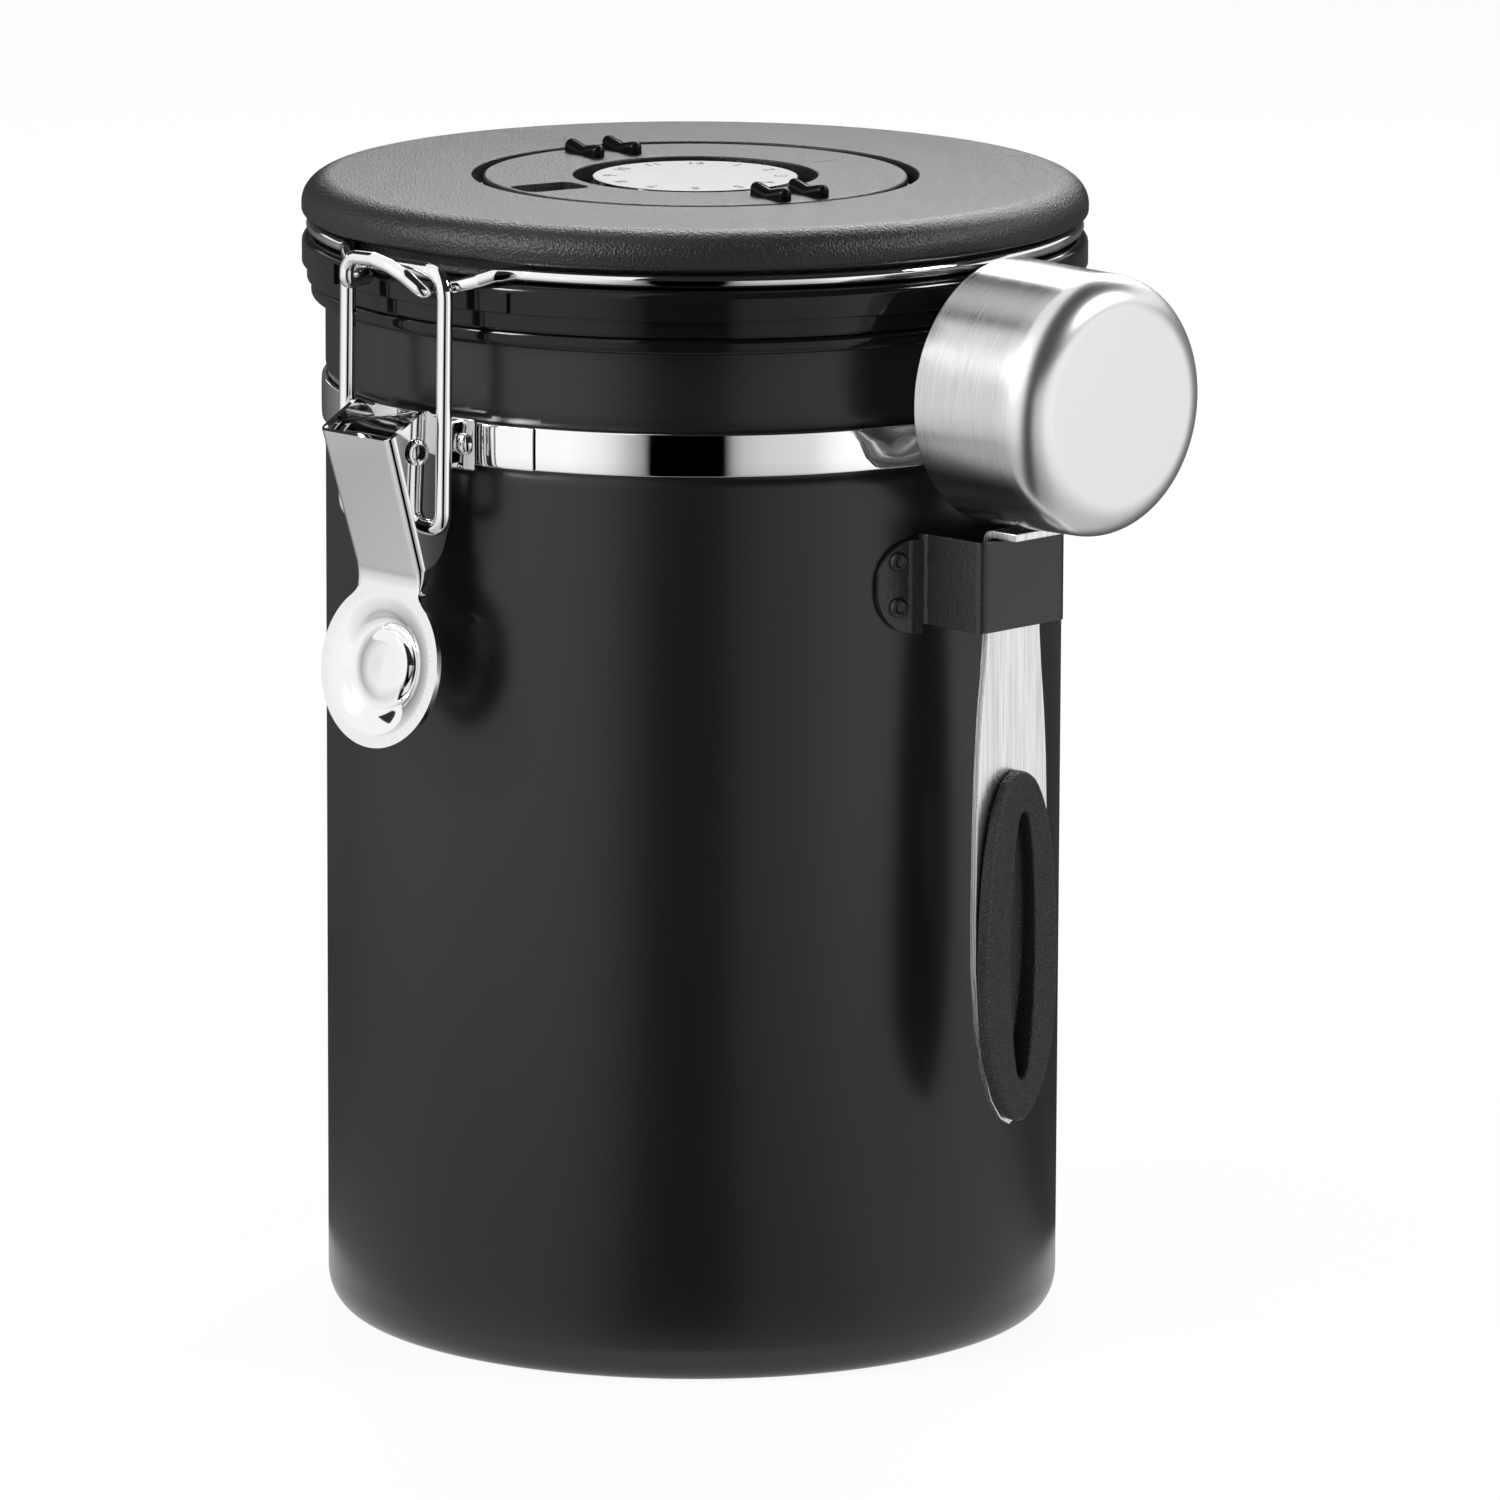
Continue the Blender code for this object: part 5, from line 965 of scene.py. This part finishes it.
grip = {"low": 43.5, "top": 103.0, "half": 8.6, "back": 75.15, "height": 2.6, "bevel": 1.0, "holeLow": 50.7,
        "holeTop": 96.1, "slot": 2.8, "sleeve": 1.0, "sleeveBack": 73.35, "sleeveOver": 0.4, "cut": 3,
        "leaf": [(0, 0), (0.008, 0.17), (0.03, 0.35), (0.08, 0.58), (0.16, 0.80), (0.27, 0.95), (0.42, 1),
                 (0.58, 0.98), (0.74, 0.88), (0.87, 0.70), (0.95, 0.47), (0.985, 0.26), (1, 0)],
        "hole": [(0, 0), (0.01, 0.25), (0.04, 0.45), (0.12, 0.67), (0.22, 0.83), (0.32, 0.94), (0.44, 1),
                 (0.60, 0.97), (0.74, 0.86), (0.86, 0.70), (0.95, 0.48), (0.99, 0.26), (1, 0)]}


def leaf(shares, half, low, high):
    # a leaf outline through its half widths, drawn as a smooth curve
    right = [Vector((half * w, low + (high - low) * h)) for h, w in shares]
    loop = right + [Vector((-p.x, p.y)) for p in reversed(right[1:-1])]
    count = len(loop)
    smooth = []
    for i in range(count):
        a, b, c, d = (loop[(i + k) % count] for k in (-1, 0, 1, 2))
        for t in (0, 0.25, 0.5, 0.75):
            smooth.append(tuple(0.5 * (2 * b + (c - a) * t + (2 * a - 5 * b + 4 * c - d) * t * t
                                       + (3 * b - a - 3 * c + d) * t ** 3)))
    return smooth


def makeGrip(s):
    # a raised rubber ring whose hole is lined back to the strip's rear face
    def block(points, back, front):
        return slab(points, front - back, Matrix.Translation(((back + front) / 2, 0, 0)) @ scoopSide)

    front = s["back"] + s["height"]
    outer = leaf(s["leaf"], s["half"], s["low"], s["top"])
    ring = block(outer, s["back"], front)
    edges = [e for e in ring.edges if all(v.co.x > front - 0.01 for v in e.verts)]
    bmesh.ops.bevel(ring, geom=edges, offset=s["bevel"], segments=6, profile=0.5, affect="EDGES", material=-1)
    wider = leaf(s["hole"], s["slot"] + s["sleeve"], s["holeLow"] - s["sleeve"], s["holeTop"] + s["sleeve"])
    lining = block(wider, s["sleeveBack"], s["back"] + s["sleeveOver"])
    opening = leaf(s["hole"], s["slot"], s["holeLow"], s["holeTop"])
    hole = block(opening, s["sleeveBack"] - s["cut"], front + s["cut"])
    whole = shaped(shaped(ring, lining, operation="UNION"), hole)
    bmesh.ops.dissolve_limit(whole, angle_limit=math.radians(0.3), verts=whole.verts, edges=whole.edges)
    settle(whole, "scoopGrip", rubber, "scoop", "scoop_grip", edge=0.35, sharp=45)


makeGrip(grip)
print("scoop made")


# camera, where the photograph was taken

camera = {"azimuth": 45.0, "distance": 1.89317, "height": 0.47547, "pitch": 11.3482, "yaw": 0.29142,
          "roll": 0.23183, "lens": 271.702}


def makeCamera(c):
    bearing = math.radians(c["azimuth"])
    yaw, pitch, roll = (math.radians(c[k]) for k in ("yaw", "pitch", "roll"))
    inward = Vector((-math.sin(bearing), math.cos(bearing), 0))
    right = Vector((math.cos(bearing), math.sin(bearing), 0))
    level = inward * math.cos(yaw) + right * math.sin(yaw)
    side = right * math.cos(yaw) - inward * math.sin(yaw)
    ahead = level * math.cos(pitch) - Vector((0, 0, math.sin(pitch)))
    top = side.cross(ahead)
    across = side * math.cos(roll) + top * math.sin(roll)
    up = top * math.cos(roll) - side * math.sin(roll)
    seat = -inward * c["distance"] + Vector((0, 0, c["height"]))
    turn = Matrix((across, up, -ahead)).transposed().to_4x4()
    cam = bpy.data.objects.new("camera", bpy.data.cameras.new("camera"))
    cam.matrix_world = Matrix.Translation(seat) @ turn
    cam.data.lens = c["lens"]
    cam.data.sensor_width = 36.0
    cam.data.clip_start, cam.data.clip_end = 0.05, 20.0
    bpy.context.scene.collection.objects.link(cam)
    bpy.context.scene.camera = cam


makeCamera(camera)


# stage: pale floor, white surroundings, soft boxes, and cards that only reflections see

studio = {"world": 0.55, "floorSize": 6.0, "floorColour": 0.86, "floorGlow": 0.92}


def seenBy(tree, *rays):
    # 1 for what these kinds of ray look at
    seen = 0.0
    for ray in rays:
        seen = addNode(tree, "LightPath", output="Is %s Ray" % ray).math("MAXIMUM", seen)
    return seen


def makeWorld(s):
    # the camera and the mirrors see plain white, and what lights the object is dimmer
    world = bpy.data.worlds.new("studio")
    bpy.context.scene.world = world
    world.use_nodes = True
    tree = world.node_tree
    background = tree.nodes["Background"]
    background.inputs["Color"].default_value = grey(1.0)
    seen = seenBy(tree, "Camera", "Glossy", "Transmission")
    plug(tree, background.inputs["Strength"], s["world"] + seen * (1.0 - s["world"]))


def stageObject(mesh, name, material, reflectionsOnly=True):
    data = bpy.data.meshes.new(name)
    mesh.to_mesh(data)
    mesh.free()
    data.materials.append(material)
    obj = bpy.data.objects.new(name, data)
    bpy.context.scene.collection.objects.link(obj)
    if reflectionsOnly:
        obj.visible_camera = False
        obj.visible_diffuse = False
        obj.visible_shadow = False
        obj.visible_transmission = False


def makeFloor(s):
    mesh = bmesh.new()
    bmesh.ops.create_grid(mesh, x_segments=1, y_segments=1, size=s["floorSize"] / 2)
    finish = Finish("floor", (s["floorColour"],) * 3, 0.6)
    tree = finish.tree
    glow = addNode(tree, "Emission", Color=grey(1.0))
    mix = tree.nodes.new("ShaderNodeMixShader")
    look = (seenBy(tree, "Camera", "Glossy") * s["floorGlow"], Val(tree, finish.shader.outputs[0]), glow)
    for socket, term in zip(mix.inputs, look):
        plug(tree, socket, term)
    tree.links.new(mix.outputs[0], tree.nodes["Material Output"].inputs["Surface"])
    stageObject(mesh, "floor", finish.material, reflectionsOnly=False)


# how bright the low surround is at each azimuth: soft boxes, a dark gap in front, dark flags at the rear; its
# table part is dimmed near the object and in a patch at the left as painted shadow
surround = {"floorIn": 0.085, "floorOut": 0.40, "floorZ": 0.0006, "wallOut": 1.30, "wallTop": 0.42,
            "levels": [(-180, 0.10), (-112, 0.08), (-82, 0.22), (-60, 0.55), (-40, 0.86), (8, 0.94),
                       (18, 0.80), (22, 0.66), (26, 0.46), (30.5, 0.28), (32, 0.0), (54, 0.0), (55.5, 0.28),
                       (59, 0.47), (64, 0.56), (79, 0.66), (87, 0.92), (95, 1.0), (116, 0.96), (136, 0.92),
                       (147, 0.5), (158, 0.16)],
            "strength": 1.12, "near": 0.20, "far": 0.55, "nearShadowLevel": 0.55,
            "shadeAt": 0.295, "shadeHalf": 0.055, "shadeFade": 20.0, "shade": 0.25}


def glowing(name, level=0.0):
    # a material that only glows, and its shader
    material = bpy.data.materials.new(name)
    material.use_nodes = True
    tree = material.node_tree
    tree.nodes.clear()
    glow = tree.nodes.new("ShaderNodeEmission")
    glow.inputs["Color"].default_value = grey(1.0)
    glow.inputs["Strength"].default_value = level
    out = tree.nodes.new("ShaderNodeOutputMaterial")
    tree.links.new(glow.outputs[0], out.inputs["Surface"])
    return material, glow


def makeSurround(s):
    def within(term):
        return term.math("MINIMUM", 1.0).math("MAXIMUM", 0.0)

    profile = [(s["floorIn"], s["floorZ"]), (s["floorOut"], s["floorZ"]), (s["wallOut"], s["wallTop"])]
    mesh = wireOutline(profile, closed=False)
    sweepRound(mesh, 180, 360)
    material, glow = glowing("surround")
    tree = material.node_tree
    spot = addNode(tree, "TexCoord", output="Object")
    x, y = (addNode(tree, "SeparateXYZ", output=axis, Vector=spot) for axis in "XY")
    turn = x.math("ARCTAN2", y * -1.0) / (2 * math.pi) + 0.5
    stops = [((azimuth + 180) / 360, level) for azimuth, level in s["levels"]]
    plug(tree, glow.inputs["Color"], addNode(tree, "ValToRGB", {"stops": stops}, Fac=turn))
    # painted shadow: the reflected table is dimmer near the object, and a soft grey patch lies on it at the
    # left, that the clamp's lever looks down on
    far = (x * x + y * y) ** 0.5
    reach = within((far - s["near"]) / (s["far"] - s["near"]))
    ring = (1.0 - (far - s["shadeAt"]).math("ABSOLUTE") / s["shadeHalf"]).math("MAXIMUM", 0.0)
    left = within(x * -s["shadeFade"] - 1.0)
    level = s["nearShadowLevel"] + (1.0 - s["nearShadowLevel"]) * reach
    plug(tree, glow.inputs["Strength"], s["strength"] * level * (1.0 - ring * left * s["shade"]))
    stageObject(mesh, "lowSurround", material)


hood = {"radius": 1.55, "lowest": 0.42, "lean": 0.6, "depth": 0.25, "level": 0.02, "leftEdge": 27}


def makeHood(s, azimuth):
    # a dark canopy over the front and the top, open to the white at the rear
    mesh = bmesh.new()
    bmesh.ops.create_uvsphere(mesh, u_segments=64, v_segments=32, radius=s["radius"])
    lean = around(s["lean"], azimuth, math.sqrt(1 - s["lean"] ** 2))
    trimmed(mesh, (0, 0, s["lowest"]), (0, 0, -1))
    trimmed(mesh, lean * s["depth"] * s["radius"], -lean)
    trimmed(mesh, (0, 0, 0), around(1, s["leftEdge"] - 90))
    stageObject(mesh, "frontHood", glowing("hood", s["level"])[0])


def makeFlag(s, name):
    # a dark curved card that stands part of the way round
    mesh = wireOutline([s["low"], s["top"]], closed=False)
    swing(mesh, s["from"])
    sweepRound(mesh, 48, s["to"] - s["from"])
    stageObject(mesh, name, glowing(name, s["level"])[0])


leftFlag = {"low": (1.45, 0.62), "top": (0.85, 1.2), "from": -125, "to": -62, "level": 0.03}
rearFlag = {"low": (0.128, 0.190), "top": (0.128, 0.222), "from": 165, "to": 285, "level": 0.05}

softBoxes = {
    "backBox": {"azimuth": 215, "distance": 1.25, "height": 0.95, "size": (1.1, 0.5), "power": 11.0},
    "leftBox": {"azimuth": -20, "distance": 1.1, "height": 0.80, "size": (0.34, 0.34), "power": 11.0},
    "rightBox": {"azimuth": 124, "distance": 1.1, "height": 0.85, "size": (0.28, 0.28), "power": 8.0},
}
aim = Vector((0, 0, 0.11))


def softBox(s, name):
    seat = around(s["distance"], s["azimuth"], s["height"])
    lamp = bpy.data.lights.new(name, "AREA")
    lamp.shape = "RECTANGLE"
    lamp.size, lamp.size_y = s["size"]
    lamp.energy = s["power"]
    obj = bpy.data.objects.new(name, lamp)
    aimed = (seat - aim).to_track_quat("Z", "Y").to_matrix().to_4x4()
    obj.matrix_world = Matrix.Translation(seat) @ aimed
    bpy.context.scene.collection.objects.link(obj)


makeWorld(studio)
makeFloor(studio)
makeSurround(surround)
makeHood(hood, 45)
makeFlag(leftFlag, "leftFlag")
makeFlag(rearFlag, "rearFlag")
for name, sizes in softBoxes.items():
    softBox(sizes, name)
bpy.context.scene.view_settings.view_transform = "Standard"
print("stage set")
